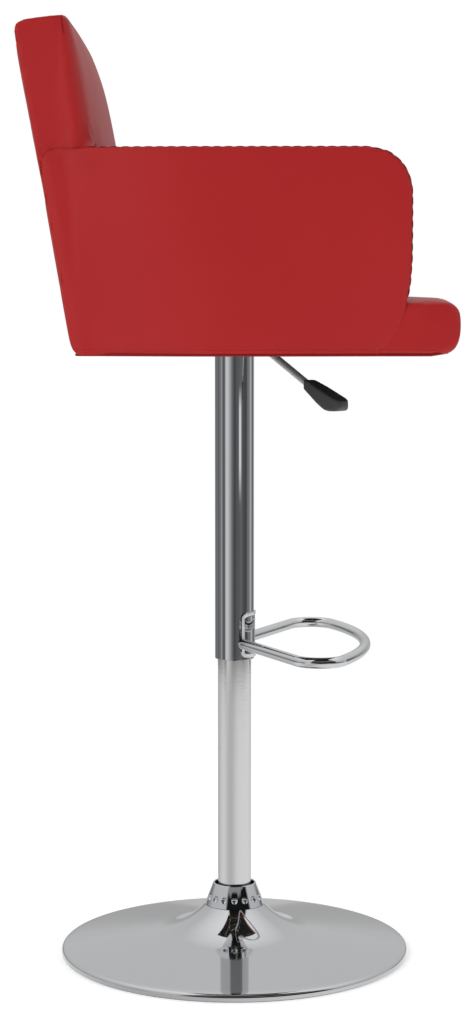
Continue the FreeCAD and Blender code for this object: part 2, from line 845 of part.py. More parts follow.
def make_lever_rod():
    """The bent rod: a level tail over the release pin, a cross boss, and a drooping handle end."""
    body = new_body("lever_rod")
    spine = new_sketch(body, "XZ_Plane")
    draw_loop(spine, [
        (-lever_tail, lever_level), (lever_bend_start, lever_level, lever_bend, -1),
        (lever_bend_end, lever_bend_top), (lever_reach, lever_line(lever_reach)),
    ], closed=False)
    profile = new_sketch(body, "YZ_Plane", -lever_tail)
    draw_circle(profile, 0, lever_level, lever_radius)
    pipe = body.newObject("PartDesign::AdditivePipe", "pipe")
    pipe.Profile = profile
    pipe.Spine = (spine, [])
    boss = new_sketch(body, "XZ_Plane")
    draw_circle(boss, pivot_reach, lever_level, boss_radius)
    extrude(body, boss, boss_length, symmetric=True)
    drill(body, "XZ_Plane", [(pivot_reach, lever_level)], pivot_radius + running_gap,
          boss_length * 2, symmetric=True)
    aim(body)
    return body


def make_pivot_pin():
    length = boss_length + (ear_gap + ear_thickness) * 2
    body = new_body("lever_pivot_pin")
    sketch = new_sketch(body, "XZ_Plane")
    draw_circle(sketch, pivot_reach, lever_level, pivot_radius)
    extrude(body, sketch, length, symmetric=True)
    aim(body)
    return body


def make_lever_grip():
    """The moulded paddle on the rod's end: its sole follows the rod, its top slopes less."""
    body = new_body("lever_grip")
    end = grip_start + grip_length
    heel = lever_line(grip_start)
    sole = heel - grip_thickness / 2 - grip_sole * tangent(lever_droop)
    pad(body, "XZ_Plane", [
        (grip_start, heel - grip_thickness / 2), (grip_start + grip_sole, sole),
        (end - grip_nose, sole), (end, sole + grip_nose), (end - grip_nose, sole + grip_tip),
        (grip_start + grip_brow, heel + grip_heel), (grip_start, heel + grip_heel),
    ], grip_width, symmetric=True)
    round_edges(body, grip_round, lambda edge: not along(edge, Vector(0, 1, 0)))
    bore = new_sketch(body, "XZ_Plane")
    start, stop = grip_start - grip_socket, lever_reach + weld_gap * 4
    start_z, stop_z = lever_line(start), lever_line(stop)
    axis = bore.addGeometry(Part.LineSegment(Vector(start.number, start_z.number, 0),
                                             Vector(stop.number, stop_z.number, 0)), True)
    pin_point(bore, axis, 1, start, start_z)
    pin_point(bore, axis, 2, stop, stop_z)
    side_x = (lever_radius + weld_gap) * sine(lever_droop)
    side_z = (lever_radius + weld_gap) * cosine(lever_droop)
    draw_loop(bore, [
        (start, start_z), (stop, stop_z), (stop + side_x, stop_z + side_z),
        (start + side_x, start_z + side_z),
    ])
    groove = body.newObject("PartDesign::Groove", "bore")
    groove.Profile = bore
    groove.ReferenceAxis = (bore, ["Axis0"])
    groove.Angle = 360
    aim(body)
    return body


# ---------------------------------------------------------------- plate, frame and fasteners

def corners_of(spacing):
    half = spacing / 2
    return [(half, half), (-half, half), (-half, -half), (half, -half)]


def make_mounting_plate():
    body = new_body("mounting_plate")
    half = plate_size / 2
    pad(body, "XY_Plane", rectangle(-half, half, -half, half), plate_thickness, plate_under)
    drill(body, "XY_Plane", corners_of(bolt_spacing), bolt_radius + bolt_clearance,
          plate_thickness * 4, plate_under, symmetric=True)
    round_edges(body, plate_corner,
                lambda edge: along(edge, Vector(0, 0, 1))
                and abs(edge.CenterOfGravity.x) > half.number - plate_corner.number)
    return body


def make_plate_fasteners():
    bolts, washers, nuts = [], [], []
    head_under = plate_under - flat_washer - head_height
    shank_top = board_top - tee_flange
    barrel_foot = board_under + tee_flange
    for x, y in corners_of(bolt_spacing):
        head = hexagon(head_radius, head_height, (x, y, head_under))
        shank = cylinder(bolt_radius, shank_top - head_under, (x, y, head_under))
        bolts.append(fuse(head, shank))
        disc = cylinder(head_radius + weld_gap, flat_washer, (x, y, plate_under - flat_washer))
        hole = cylinder(bolt_radius + bolt_clearance / 2, flat_washer * 3,
                        (x, y, plate_under - flat_washer * 2))
        washers.append(cut(disc, hole))
        flange = cylinder(tee_radius, tee_flange, (x, y, board_top))
        barrel = cylinder(bolt_radius + tee_wall, board_top - barrel_foot, (x, y, barrel_foot))
        thread = cylinder(bolt_radius, board_thickness * 2, (x, y, board_under))
        nuts.append(cut(fuse(flange, barrel), thread))
    return (group("plate_bolts", bolts), group("plate_washers", washers),
            group("tee_nuts", nuts))


def screw_places():
    inset = rail_wall / 2
    left, right = frame_rear + inset, frame_front - inset
    side = frame_half_width - inset
    middle = (left + right) / 2
    near_side = side - screw_inset
    return [(left, near_side), (left, -near_side), (right, near_side), (right, -near_side),
            (middle, side), (middle, -side), (right, 0), (left, 0)]


def make_seat_frame():
    """Four glued rails round the seat, with holes for the bolts of the arms and the back."""
    body = new_body("seat_frame")
    sketch = new_sketch(body, "XY_Plane", frame_underside)
    draw_loop(sketch, rectangle(frame_rear, frame_front, -frame_half_width, frame_half_width))
    draw_loop(sketch, rectangle(frame_rear + rail_wall, frame_front - rail_wall,
                                rail_wall - frame_half_width, frame_half_width - rail_wall))
    extrude(body, sketch, rail_height)
    drill(body, "XZ_Plane", [(x, side_bolt_level) for x in arm_bolt_places()],
          bolt_radius, frame_half_width * 3, symmetric=True)
    drill(body, "YZ_Plane", [(y, side_bolt_level) for y in back_bolt_places()],
          bolt_radius, rail_wall * 1.5, frame_rear + rail_wall * 1.25)
    drill(body, "XY_Plane", screw_places(), screw_radius, screw_length, board_top)
    return body


def make_seat_board():
    body = new_body("seat_board")
    pad(body, "XY_Plane", rectangle(frame_rear, frame_front, -frame_half_width, frame_half_width),
        board_thickness, board_under)
    drill(body, "XY_Plane", corners_of(bolt_spacing), bolt_radius + tee_wall,
          board_thickness * 4, board_under, symmetric=True)
    drill(body, "XY_Plane", screw_places(), screw_radius, board_thickness * 4,
          board_under, symmetric=True)
    return body


def make_rail_screws():
    screws = []
    for x, y in screw_places():
        shank = cylinder(screw_radius, screw_length, (x, y, board_top - screw_length))
        head = cylinder(screw_radius * 2, screw_head_height, (x, y, board_top))
        screws.append(fuse(shank, head))
    return group("rail_screws", screws)


def make_dust_cover():
    body = new_body("dust_cover")
    inset = rail_wall / 5
    pad(body, "XY_Plane", rectangle(frame_rear + inset, frame_front - inset,
                                    inset - frame_half_width, frame_half_width - inset),
        cover_thickness, frame_underside - cover_thickness)
    drill(body, "XY_Plane", [(0, 0)], cover_hole, cover_thickness * 4,
          frame_underside, symmetric=True)
    return body


# ---------------------------------------------------------------- upholstery

def arm_bolt_places():
    return [side_bolt_rear, side_bolt_front]


def back_bolt_places():
    return [-frame_half_width * back_bolt_share, frame_half_width * back_bolt_share]


def make_seat_cushion():
    """Foam and cover over the seat board, with an ear in front of each arm's round toe."""
    body = new_body("seat_cushion")
    rear = back_thickness + soft_gap
    hollow_top = board_top + tee_flange + soft_gap
    pad(body, "XZ_Plane", [
        (back_line(rear, underside), underside), (seat_front, underside),
        (seat_front, seat_top), (back_line(rear, seat_top), seat_top),
    ], seat_half_width * 2, symmetric=True)
    toe_x, toe_z = arm_front - arm_toe_round, underside + arm_toe_round
    hollow = arm_toe_round + soft_gap
    ear_top = root(hollow * hollow - (toe_z - seat_top) * (toe_z - seat_top))
    ear_foot = root(hollow * hollow - ear_tip * ear_tip)
    pad(body, "XZ_Plane", [
        (toe_x + ear_tip, underside), (seat_front, underside), (seat_front, seat_top),
        (toe_x + ear_top, seat_top, hollow, -1), (toe_x + ear_tip, toe_z - ear_foot),
    ], (arm_outer - ear_inset) * 2, symmetric=True)
    round_edges(body, seat_corner,
                lambda edge: along(edge, Vector(0, 0, 1)) and near(edge, x=seat_front))
    round_edges(body, seat_round,
                lambda edge: near(edge, z=seat_top, reach=0.1)
                and edge.CenterOfGravity.x > arm_front.number + seat_round.number)
    pocket(body, "XY_Plane", rectangle(frame_rear - foam_gap, frame_front + foam_gap,
                                       -frame_half_width - foam_gap, frame_half_width + foam_gap),
           (hollow_top - underside) * 2, hollow_top)
    drill(body, "XZ_Plane", [(x, side_bolt_level) for x in arm_bolt_places()],
          bolt_radius + bolt_play, seat_half_width * 3, symmetric=True)
    drill(body, "YZ_Plane", [(y, side_bolt_level) for y in back_bolt_places()],
          bolt_radius + bolt_play, back_thickness, frame_rear + rail_wall)
    return body


def board_in_back(foot, grow):
    """Side view of the board in the back, or of its pocket, which is that much larger."""
    head = back_top - back_board_margin + grow
    near_face = back_board_inset - grow
    far_face = back_board_inset + board_thickness / cosine(back_lean) + grow
    return [
        (back_line(near_face, foot), foot), (back_line(far_face, foot), foot),
        (back_line(far_face, head), head), (back_line(near_face, head), head),
    ]


def make_back_pad():
    """The padded back: narrow between the arms, full width above them, round along its top."""
    body = new_body("back_pad")
    shoulder = arm_top + soft_gap
    pad(body, "XZ_Plane", [
        (back_line(0, underside), underside), (back_line(back_thickness, underside), underside),
        (back_line(back_thickness, back_top), back_top), (back_line(0, back_top), back_top),
    ], seat_half_width * 2, symmetric=True)
    pad(body, "XZ_Plane", [
        (back_line(0, shoulder), shoulder), (back_line(back_thickness, shoulder), shoulder),
        (back_line(back_thickness, back_top), back_top), (back_line(0, back_top), back_top),
    ], back_half_width * 2, symmetric=True)
    round_edges(body, back_front_round,
                lambda edge: near(edge, x=back_line(back_thickness, back_top), z=back_top))
    round_edges(body, back_rear_round,
                lambda edge: near(edge, x=back_line(0, back_top), z=back_top))
    pocket(body, "XZ_Plane", board_in_back(underside - bore_run, foam_gap),
           (back_board_half_width + foam_gap) * 2, symmetric=True)
    drill(body, "YZ_Plane", [(y, side_bolt_level) for y in back_bolt_places()],
          bolt_radius + bolt_play, back_thickness, frame_rear)
    return body


def make_back_board():
    body = new_body("back_board")
    pad(body, "XZ_Plane", board_in_back(frame_underside, 0), back_board_half_width * 2,
        symmetric=True)
    face = back_line(back_board_inset, side_bolt_level)
    holes = [(y, side_bolt_level) for y in back_bolt_places()]
    drill(body, "YZ_Plane", holes, bolt_radius, board_thickness * 6, face, symmetric=True)
    drill(body, "YZ_Plane", holes, head_radius + bolt_play, counterbore_depth * 2,
          face + counterbore_depth)
    return body


def arm_outline(foot, grow):
    """Side view of the board in an arm, or of its pocket, which is that much larger."""
    margin = arm_board_margin
    head = arm_top - margin + grow
    nose = arm_front - margin + grow
    return [
        (back_line(margin - grow, foot), foot), (nose - arm_board_toe, foot),
        (nose, underside + arm_toe_round), (nose, head - arm_board_chamfer),
        (nose - arm_board_chamfer, head), (back_line(margin - grow, head), head),
    ]


def make_arm_pad(label, side):
    """Foam and cover round an arm's board: flat top, round nose, open underneath."""
    body = new_body(label)
    width = arm_outer - arm_inner
    offset = arm_inner if side < 0 else -arm_outer
    pad(body, "XZ_Plane", [
        (back_line(0, underside), underside), (arm_front, underside),
        (arm_front, arm_top), (back_line(0, arm_top), arm_top),
    ], width, offset)
    for radius, x, z in ((arm_front_round, arm_front, arm_top),
                         (arm_toe_round, arm_front, underside),
                         (arm_rear_round, back_line(0, arm_top), arm_top)):
        round_edges(body, radius, lambda edge: near(edge, x=x, z=z))
    board_outer = arm_outer - arm_board_depth + foam_gap
    board_inner = board_outer - arm_board_thickness - foam_gap * 2
    pocket(body, "XZ_Plane", arm_outline(underside - bore_run, foam_gap),
           board_outer - board_inner, board_outer if side < 0 else -board_inner)
    drill(body, "XZ_Plane", [(x, side_bolt_level) for x in arm_bolt_places()],
          bolt_radius + bolt_play, width, board_outer if side < 0 else hem_drop - arm_inner)
    return body


def make_arm_board(label, side):
    body = new_body(label)
    outer = arm_outer - arm_board_depth
    inner = outer - arm_board_thickness
    pad(body, "XZ_Plane", arm_outline(frame_underside, 0), arm_board_thickness,
        inner if side < 0 else -outer)
    holes = [(x, side_bolt_level) for x in arm_bolt_places()]
    drill(body, "XZ_Plane", holes, bolt_radius, arm_board_thickness * 4,
          outer if side < 0 else -outer, symmetric=True)
    drill(body, "XZ_Plane", holes, head_radius + bolt_play, counterbore_depth * 2,
          outer + counterbore_depth if side < 0 else counterbore_depth - outer)
    return body


def socket_bolt(place, axis, sign, length):
    """A bolt whose head starts at place and whose shank runs that way along the axis."""
    direction = Vector(*[sign if letter == axis else 0 for letter in "xyz"])
    head = cylinder(head_radius - bolt_play, head_height, place, direction)
    shank = cylinder(bolt_radius - running_gap, length, place, direction)
    return fuse(head, shank)


def captive_nut(place, axis, sign):
    direction = Vector(*[sign if letter == axis else 0 for letter in "xyz"])
    body = hexagon(head_radius, nut_height, place, direction)
    hole = cylinder(bolt_radius - running_gap, nut_height * 3,
                    step(place, axis, nut_height * -sign), direction)
    return cut(body, hole)


def make_arm_fasteners():
    bolts, nuts = [], []
    head_face = arm_outer - arm_board_depth - counterbore_depth + head_height
    nut_face = frame_half_width - rail_wall
    for side in (1, -1):
        for x in arm_bolt_places():
            bolts.append(socket_bolt((x, head_face * side, side_bolt_level), "y", -side,
                                     head_face - nut_face + nut_height - bolt_tip))
            nuts.append(captive_nut((x, nut_face * side, side_bolt_level), "y", -side))
    return group("arm_bolts", bolts), group("arm_nuts", nuts)


def make_back_fasteners():
    bolts, nuts = [], []
    head_face = back_line(back_board_inset, side_bolt_level) + counterbore_depth - head_height
    nut_face = frame_rear + rail_wall
    for y in back_bolt_places():
        bolts.append(socket_bolt((head_face, y, side_bolt_level), "x", 1,
                                 nut_face - head_face + nut_height - bolt_tip))
        nuts.append(captive_nut((nut_face, y, side_bolt_level), "x", 1))
    return group("back_bolts", bolts), group("back_nuts", nuts)


# ---------------------------------------------------------------- foot loop

def loop_path():
    """Half of the loop's middle line: a straight leg, a tight corner and a wide bow."""
    corner_y = loop_half_width - loop_corner
    bow_x = loop_front - loop_bow
    corner_x = bow_x + root((loop_bow - loop_corner) * (loop_bow - loop_corner)
                            - corner_y * corner_y)
    reach = root(corner_x * corner_x + corner_y * corner_y)
    leg = root(reach * reach - loop_corner * loop_corner)
    leg_cos = (corner_x * leg - corner_y * loop_corner) / (reach * reach)
    leg_sin = (corner_y * leg + corner_x * loop_corner) / (reach * reach)
    scale = loop_bow / (loop_bow - loop_corner)
    tangent_x = bow_x + (corner_x - bow_x) * scale
    tangent_y = corner_y * scale
    return leg_cos, leg_sin, leg, tangent_x, tangent_y


def make_loop_solid(radius):
    """The bent tube's outside, or its hollow, from one leg's start to the other's."""
    leg_cos, leg_sin, leg, tangent_x, tangent_y = loop_path()
    body = new_body("loop_core")
    start = sleeve_radius - sleeve_wall / 2
    spine = new_sketch(body, "XY_Plane", loop_height)
    draw_loop(spine, [
        (start * leg_cos, -start * leg_sin),
        (leg * leg_cos, -leg * leg_sin, loop_corner, 1),
        (tangent_x, -tangent_y, loop_bow, 1),
        (tangent_x, tangent_y, loop_corner, 1),
        (leg * leg_cos, leg * leg_sin),
        (start * leg_cos, start * leg_sin),
    ], closed=False)
    profile = new_sketch(body, "XZ_Plane")
    angle = math.degrees(math.atan2(-leg_sin.number, leg_cos.number))
    draw_circle(profile, 0, 0, radius)
    profile.AttachmentOffset = Placement(Vector(), Rotation(Vector(0, 1, 0), angle - 90))
    bind(profile, "AttachmentOffset.Base.x", start * leg_cos)
    bind(profile, "AttachmentOffset.Base.y", loop_height)
    bind(profile, "AttachmentOffset.Base.z", start * leg_sin)
    pipe = body.newObject("PartDesign::AdditivePipe", "pipe")
    pipe.Profile = profile
    pipe.Spine = (spine, [])
    return body


def make_foot_loop():
    """The chromed foot loop, its ends coped to fit the saddle."""
    hollow = cut(make_loop_solid(loop_tube_radius),
                 make_loop_solid(loop_tube_radius - loop_tube_wall))
    cope = cylinder(sleeve_radius + saddle_wall + weld_gap * 2, saddle_height,
                    (0, 0, loop_height - saddle_height / 2))
    loop = cut(hollow, cope)
    loop.Label = "foot_loop"
    return loop


def make_saddle():
    """A curved plate welded round the front of the sleeve, with rounded corners."""
    body = new_body("loop_saddle")
    inner = sleeve_radius + weld_gap
    outer = inner + saddle_wall
    across, deep = sine(saddle_angle), cosine(saddle_angle)
    pad(body, "XY_Plane", [
        (inner * deep, -inner * across), (outer * deep, -outer * across, outer, 1),
        (outer * deep, outer * across), (inner * deep, inner * across, inner, -1),
    ], saddle_height, sleeve_foot + saddle_foot)
    middle = (inner + outer) / 2
    round_edges(body, saddle_round,
                lambda edge: near(edge, x=middle * deep) and edge.Length < saddle_wall.number + 0.2)
    return body


# ---------------------------------------------------------------- the whole stool

keep(make_base_shell(), make_floor_ring(), make_base_brace(), make_ballast_disc(),
     make_hub_tube(), make_neck_ring(), make_trim_collar())
keep(make_standing_tube(), make_guide_bush(), make_end_plate(), *make_races(),
     make_bearing_balls(), make_ball_cage())
keep(make_piston_rod(), *make_rod_fittings(), *make_piston())
keep(make_pressure_tube(), *make_cylinder_fittings(), make_release_pin(),
     make_cover_sleeve(), make_sleeve_glide(), make_taper_socket())
keep(make_lever_cup(), make_lever_rod(), make_pivot_pin(), make_lever_grip())
keep(make_mounting_plate(), *make_plate_fasteners(), make_seat_frame(), make_seat_board(),
     make_rail_screws(), make_dust_cover())
keep(make_seat_cushion(), make_back_pad(), make_back_board())
for name, side in (("left", 1), ("right", -1)):
    keep(make_arm_pad(f"arm_pad_{name}", side), make_arm_board(f"arm_board_{name}", side))
keep(*make_arm_fasteners(), *make_back_fasteners())
keep(make_foot_loop(), make_saddle())

doc.recompute()
failed = [f"{item.Label} in {[user.Label for user in item.InList]}" for item in doc.Objects
          if {"Invalid", "Error"} & set(item.State)]
failed += [f"shape of {piece.Label}" for piece in subparts
           if piece.Shape.isNull() or not piece.Shape.isValid() or not piece.Shape.Solids]
if failed:
    raise RuntimeError("not built: " + "; ".join(failed))

os.makedirs("parts", exist_ok=True)
for piece in subparts:
    piece.Shape.exportStep(f"parts/{piece.Label}.step")
print(f"{len(subparts)} sub-parts written")
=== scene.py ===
# %% [markdown]
# # An adjustable swivel stool
# This lesson dresses a measured frame, which already holds every rod, tube, board and bolt at its
# true size. The work here is the outside: the plated foot and column, the foot loop, the lever,
# and the padded seat, back and arms. Each step says what the piece is on a real stool, how it
# could be made, and why one way was chosen.

# %% Load the frame
import math
from math import atan2, copysign, cos, hypot, radians, sin, sqrt, tan

import bmesh
import bpy
import numpy
from mathutils import Matrix, Vector, noise


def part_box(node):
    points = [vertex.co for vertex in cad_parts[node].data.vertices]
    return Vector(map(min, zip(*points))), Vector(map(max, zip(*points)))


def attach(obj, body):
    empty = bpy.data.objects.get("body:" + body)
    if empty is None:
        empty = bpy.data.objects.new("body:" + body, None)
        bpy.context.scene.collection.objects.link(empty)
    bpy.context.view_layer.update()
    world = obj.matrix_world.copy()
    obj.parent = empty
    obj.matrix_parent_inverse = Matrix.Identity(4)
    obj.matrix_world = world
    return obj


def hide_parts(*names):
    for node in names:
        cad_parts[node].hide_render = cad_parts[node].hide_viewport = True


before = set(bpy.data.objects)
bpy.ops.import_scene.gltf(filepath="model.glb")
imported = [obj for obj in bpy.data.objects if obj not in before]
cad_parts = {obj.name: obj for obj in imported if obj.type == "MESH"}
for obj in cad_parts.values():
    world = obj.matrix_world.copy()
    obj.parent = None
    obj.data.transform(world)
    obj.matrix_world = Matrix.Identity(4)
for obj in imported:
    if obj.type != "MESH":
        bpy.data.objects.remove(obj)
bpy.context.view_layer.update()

# %% [markdown]
# ## Units and small tools
# Sizes are in millimetres and become metres once, by `MM`. Operators act on what is selected, so
# `clear`, `take`, `edit` and `opened` set the selection first, and `pick` selects points, edges or
# faces by a test on their place or direction.

# %% Tools for selecting and finishing
MM = 0.001
CLOSE = 1e-6    # metres; points nearer than this are one point


def box_of(name):
    """The low and high corners of a node's box, in mm."""
    return [Vector(corner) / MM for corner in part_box(name)]


def clear():
    if bpy.context.object and bpy.context.object.mode != "OBJECT":
        bpy.ops.object.mode_set(mode="OBJECT")
    bpy.ops.object.select_all(action="DESELECT")


def take(obj, *others):
    clear()
    for other in others:
        other.select_set(True)
    obj.select_set(True)
    bpy.context.view_layer.objects.active = obj
    return obj


def edit(obj):
    """Opens a mesh for editing, with all of it selected."""
    take(obj)
    bpy.ops.object.mode_set(mode="EDIT")
    bpy.ops.mesh.select_all(action="SELECT")
    return obj


def opened():
    """Applies the transform of the piece just added and opens it for editing."""
    bpy.ops.object.transform_apply()
    return edit(bpy.context.object)


def outward(obj, weld=False):
    """Ends the editing of a mesh, with its faces turned outward."""
    bpy.ops.mesh.select_all(action="SELECT")
    if weld:
        bpy.ops.mesh.remove_doubles(threshold=CLOSE)
    bpy.ops.mesh.normals_make_consistent(inside=False)
    bpy.ops.object.mode_set(mode="OBJECT")
    return obj


def pick(test, kind="VERT"):
    bpy.ops.mesh.select_mode(type=kind)
    bpy.ops.mesh.select_all(action="DESELECT")
    mesh = bmesh.from_edit_mesh(bpy.context.edit_object.data)
    for item in {"VERT": mesh.verts, "EDGE": mesh.edges, "FACE": mesh.faces}[kind]:
        if test(item):
            item.select_set(True)
    mesh.select_flush_mode()
    bmesh.update_edit_mesh(bpy.context.edit_object.data)


def apply_modifier(obj, kind, **settings):
    take(obj)
    modifier = obj.modifiers.new(kind.title(), kind)
    for name, value in settings.items():
        setattr(modifier, name, value)
    bpy.ops.object.modifier_apply(modifier=modifier.name)
    return obj


def combine(obj, operation, other):
    """A Boolean of two solids, of which the second is then removed."""
    apply_modifier(obj, "BOOLEAN", operation=operation, object=other, solver="EXACT")
    bpy.data.objects.remove(other)


def shaped(obj, rule):
    """Moves every point of a mesh to rule(x, y, z), in mm."""
    for point in obj.data.vertices:
        point.co = Vector(rule(*(point.co / MM))) * MM
    obj.data.update()
    return obj


def smooth(obj, degrees=35):
    take(obj)
    bpy.ops.object.shade_smooth_by_angle(angle=radians(degrees))
    return obj


clear()

# %% [markdown]
# ## Camera
# A long lens far from the stool keeps its sides nearly parallel. The camera stands level with the
# seat on the sitter's right and looks a little down, so the foot is seen from above.

# %% Camera
bpy.ops.object.camera_add(location=(0, -2.615, 0.770), rotation=(radians(84.66), 0, 0))
camera = bpy.context.object
camera.name = "camera"
camera.data.lens = 79.3
camera.data.sensor_width = 36
bpy.context.scene.camera = camera
print("camera looks down by", round(90 - math.degrees(camera.rotation_euler.x), 2), "degrees")

# %% [markdown]
# ## Node helper and colours
# Materials are built from nodes. `node` adds one with its settings, inputs and, for a colour ramp,
# its stops. `tone` turns a colour in sRGB hex into the linear values that shaders use, and `per`
# gives a pattern's scale from the width of its marks in millimetres.

# %% Material tools
def tone(code):
    channels = [int(code[i:i + 2], 16) / 255 for i in (0, 2, 4)]
    linear = [c / 12.92 if c <= 0.04045 else ((c + 0.055) / 1.055) ** 2.4 for c in channels]
    return (*linear, 1.0)


def per(width):
    return 1 / (width * MM)


def wire(tree, made, inputs):
    """Sets inputs to values, to sockets, or to the first output of nodes."""
    for name, value in inputs.items():
        if isinstance(value, bpy.types.Node):
            value = value.outputs[0]
        if isinstance(value, bpy.types.NodeSocket):
            tree.links.new(value, made.inputs[name])
        else:
            made.inputs[name].default_value = value


def node(tree, kind, inputs, stops=(), **settings):
    """Adds a node. The stops of a colour ramp are (place, grey or colour)."""
    made = tree.nodes.new("ShaderNode" + kind)
    for name, value in settings.items():
        setattr(made, name, value)
    wire(tree, made, inputs)
    for i, (place, value) in enumerate(stops):
        bar = made.color_ramp.elements
        if i == 0:
            bar.remove(bar[1])
            bar[0].position = place
        stop = bar.new(place) if i else bar[0]
        stop.color = value if isinstance(value, tuple) else (value, value, value, 1)
    return made


def blank(name):
    """A new material, its tree, its Principled shader and its place coordinates."""
    made = bpy.data.materials.new(name)
    made.use_nodes = True
    tree = made.node_tree
    place = node(tree, "TexCoord", {}).outputs["Object"]
    return made, tree, tree.nodes["Principled BSDF"], place


# %% [markdown]
# ## Coated fabric
# The cover is a knitted cloth with a red vinyl coat, embossed with a fine leather grain, which
# gives a soft, wide shine. Voronoi cells of 1.4 mm make the pebbles of the grain, a fine noise
# varies their height and the shine, and a slow one shifts the red a little, as stretched vinyl
# does.

# %% Coated fabric
def coated_fabric(name, code, deep):
    made, tree, shader, place = blank(name)
    pebbles = node(tree, "TexVoronoi", {"Vector": place, "Scale": per(1.4)}, feature="SMOOTH_F1")
    slow = node(tree, "TexNoise", {"Vector": place, "Scale": per(111.11), "Detail": 3})
    fine = node(tree, "TexNoise", {"Vector": place, "Scale": per(2.381), "Detail": 4})
    share = node(tree, "ValToRGB", {"Fac": slow}, [(0.3, 0), (0.75, 1)])
    tint = node(tree, "Mix", {"Factor": share, "A": tone(code), "B": tone(deep)}, data_type="RGBA")
    height = node(tree, "Math", {0: pebbles, 1: fine}, operation="ADD")
    bump = node(tree, "Bump", {"Height": height, "Strength": 0.10, "Distance": 0.25 * MM})
    shine = node(tree, "ValToRGB", {"Fac": fine}, [(0.2, 0.40), (0.8, 0.50)])
    wire(tree, shader, {"Base Color": tint.outputs["Result"], "Normal": bump, "Roughness": shine,
                        "IOR": 1.46, "Specular IOR Level": 0.27})
    return made


red_vinyl = coated_fabric("red_vinyl_leather_grain", "AE2526", "AA2324")
# A darker copy of the red vinyl: painted shade for the seams' creases and the hem's turned-under
# edge.
shaded_vinyl = coated_fabric("red_vinyl_painted_shade", "8C1014", "860F13")
print("coated fabric is ready")

# %% [markdown]
# ## Thread
# Polyester thread is twisted from two plies, so its colour runs in short slanted lines. It is
# darker than the cover, to hide the dirt. A wave across the stitch stands for the ply, drawn
# coarser than the real twist, which is too fine to show.

# %% Thread
dark_thread, tree, shader, place = blank("polyester_thread_dark_red")
twist = node(tree, "TexWave", {"Vector": place, "Scale": per(1.923), "Distortion": 1.0},
             bands_direction="DIAGONAL").outputs["Fac"]
tint = node(tree, "ValToRGB", {"Fac": twist}, [(0, tone("620A0F")), (1, tone("84121A"))])
bump = node(tree, "Bump", {"Height": twist, "Strength": 0.4, "Distance": 0.1 * MM})
wire(tree, shader, {"Base Color": tint, "Normal": bump, "Roughness": 0.9,
                    "Specular IOR Level": 0.0})
print("the thread's ply is drawn 1.9 mm wide")

# %% [markdown]
# ## Plated and painted metals
# Chrome plate is polished first, so it is a mirror with only faint wipe marks: low roughness,
# varied slightly by a noise. The fixed tube is a satin plate, drawn through a belt that leaves
# fine lines round it. The lever's rod is dull nickel under a thin film. The saddle's raised border
# is a whiter, duller, half-metal copy of the chrome: a painted highlight for its bright edge.
# Black parts are powder coated, with a fine orange-peel skin.

# %% Metals
def plated(name, code, low, high, mark, stretch=(1, 1, 1), depth=0.0, metal=1.0):
    """A plate whose roughness goes from low to high in marks of a width in mm."""
    made, tree, shader, place = blank(name)
    spread = node(tree, "Mapping", {"Vector": place, "Scale": stretch})
    marks = node(tree, "TexNoise", {"Vector": spread, "Scale": per(mark), "Detail": 5})
    shine = node(tree, "ValToRGB", {"Fac": marks}, [(0.35, low), (0.7, high)])
    wire(tree, shader, {"Base Color": tone(code), "Metallic": metal, "Roughness": shine})
    if depth:
        bump = node(tree, "Bump", {"Height": marks, "Strength": 0.5, "Distance": depth * MM})
        wire(tree, shader, {"Normal": bump})
    return made


def skinned(name, code, rough, spread, pit, detail, strength, depth):
    """A dull coat or moulding with pits of a width and depth in mm."""
    made, tree, shader, place = blank(name)
    pits = node(tree, "TexNoise", {"Vector": place, "Scale": per(pit), "Detail": detail})
    bump = node(tree, "Bump", {"Height": pits, "Strength": strength, "Distance": depth * MM})
    low, high = rough - spread[0], rough + spread[1]
    shine = node(tree, "ValToRGB", {"Fac": pits}, [(0.3, low), (0.7, high)])
    wire(tree, shader, {"Base Color": tone(code), "Normal": bump, "Roughness": shine})
    return made


def powder_coat(name, code, rough=0.45, peel=0.9):
    return skinned(name, code, rough, (0.06, 0.06), peel, 2.0, 0.25, 0.1)


chrome = plated("chrome_plate_polished", "C6C8CC", 0.02, 0.04, 22.22, (1, 1, 0.2))
foot_chrome = plated("chrome_plate_on_pressed_steel", "C2C3C5", 0.04, 0.07, 33.33)
satin_plate = plated("chrome_plate_satin", "CFCFD0", 0.10, 0.16, 16.667, (1, 1, 14))
bright_steel = plated("zinc_plated_steel", "A9ABAE", 0.28, 0.42, 6.25, depth=0.03)
bar_chrome = plated("chrome_plate_on_bar", "CFD0D2", 0.02, 0.04, 22.22)
# Painted highlight: a whiter, half-metal plate for the saddle's raised border, brighter than its
# chrome recess.
saddle_plate_painted_highlight = plated("chrome_plate_saddle_painted_highlight", "EDEEF0", 0.10, 0.16, 22.22, metal=0.45)
lever_steel = plated("lever_rod_dull_nickel", "C9CACC", 0.38, 0.50, 8.333, depth=0.02, metal=0.5)
black_paint = powder_coat("black_powder_coat", "1B1B1D")
cast_black = powder_coat("cast_iron_black_paint", "202022", 0.7, 2.4)
print("metals are ready")

# %% [markdown]
# ## Plastics, rubber, lining and board
# The grip is moulded nylon with a spark-eroded skin: fine even pits and a dull shine. The lining
# is spun-bonded black cloth with a print of small dimples. The boards are pine ply with a long
# grain.

# %% Plastics, lining and board
def moulded(name, code, rough, pit=0.5):
    return skinned(name, code, rough, (0.05, 0.07), pit, 3.0, 0.35, 0.06)


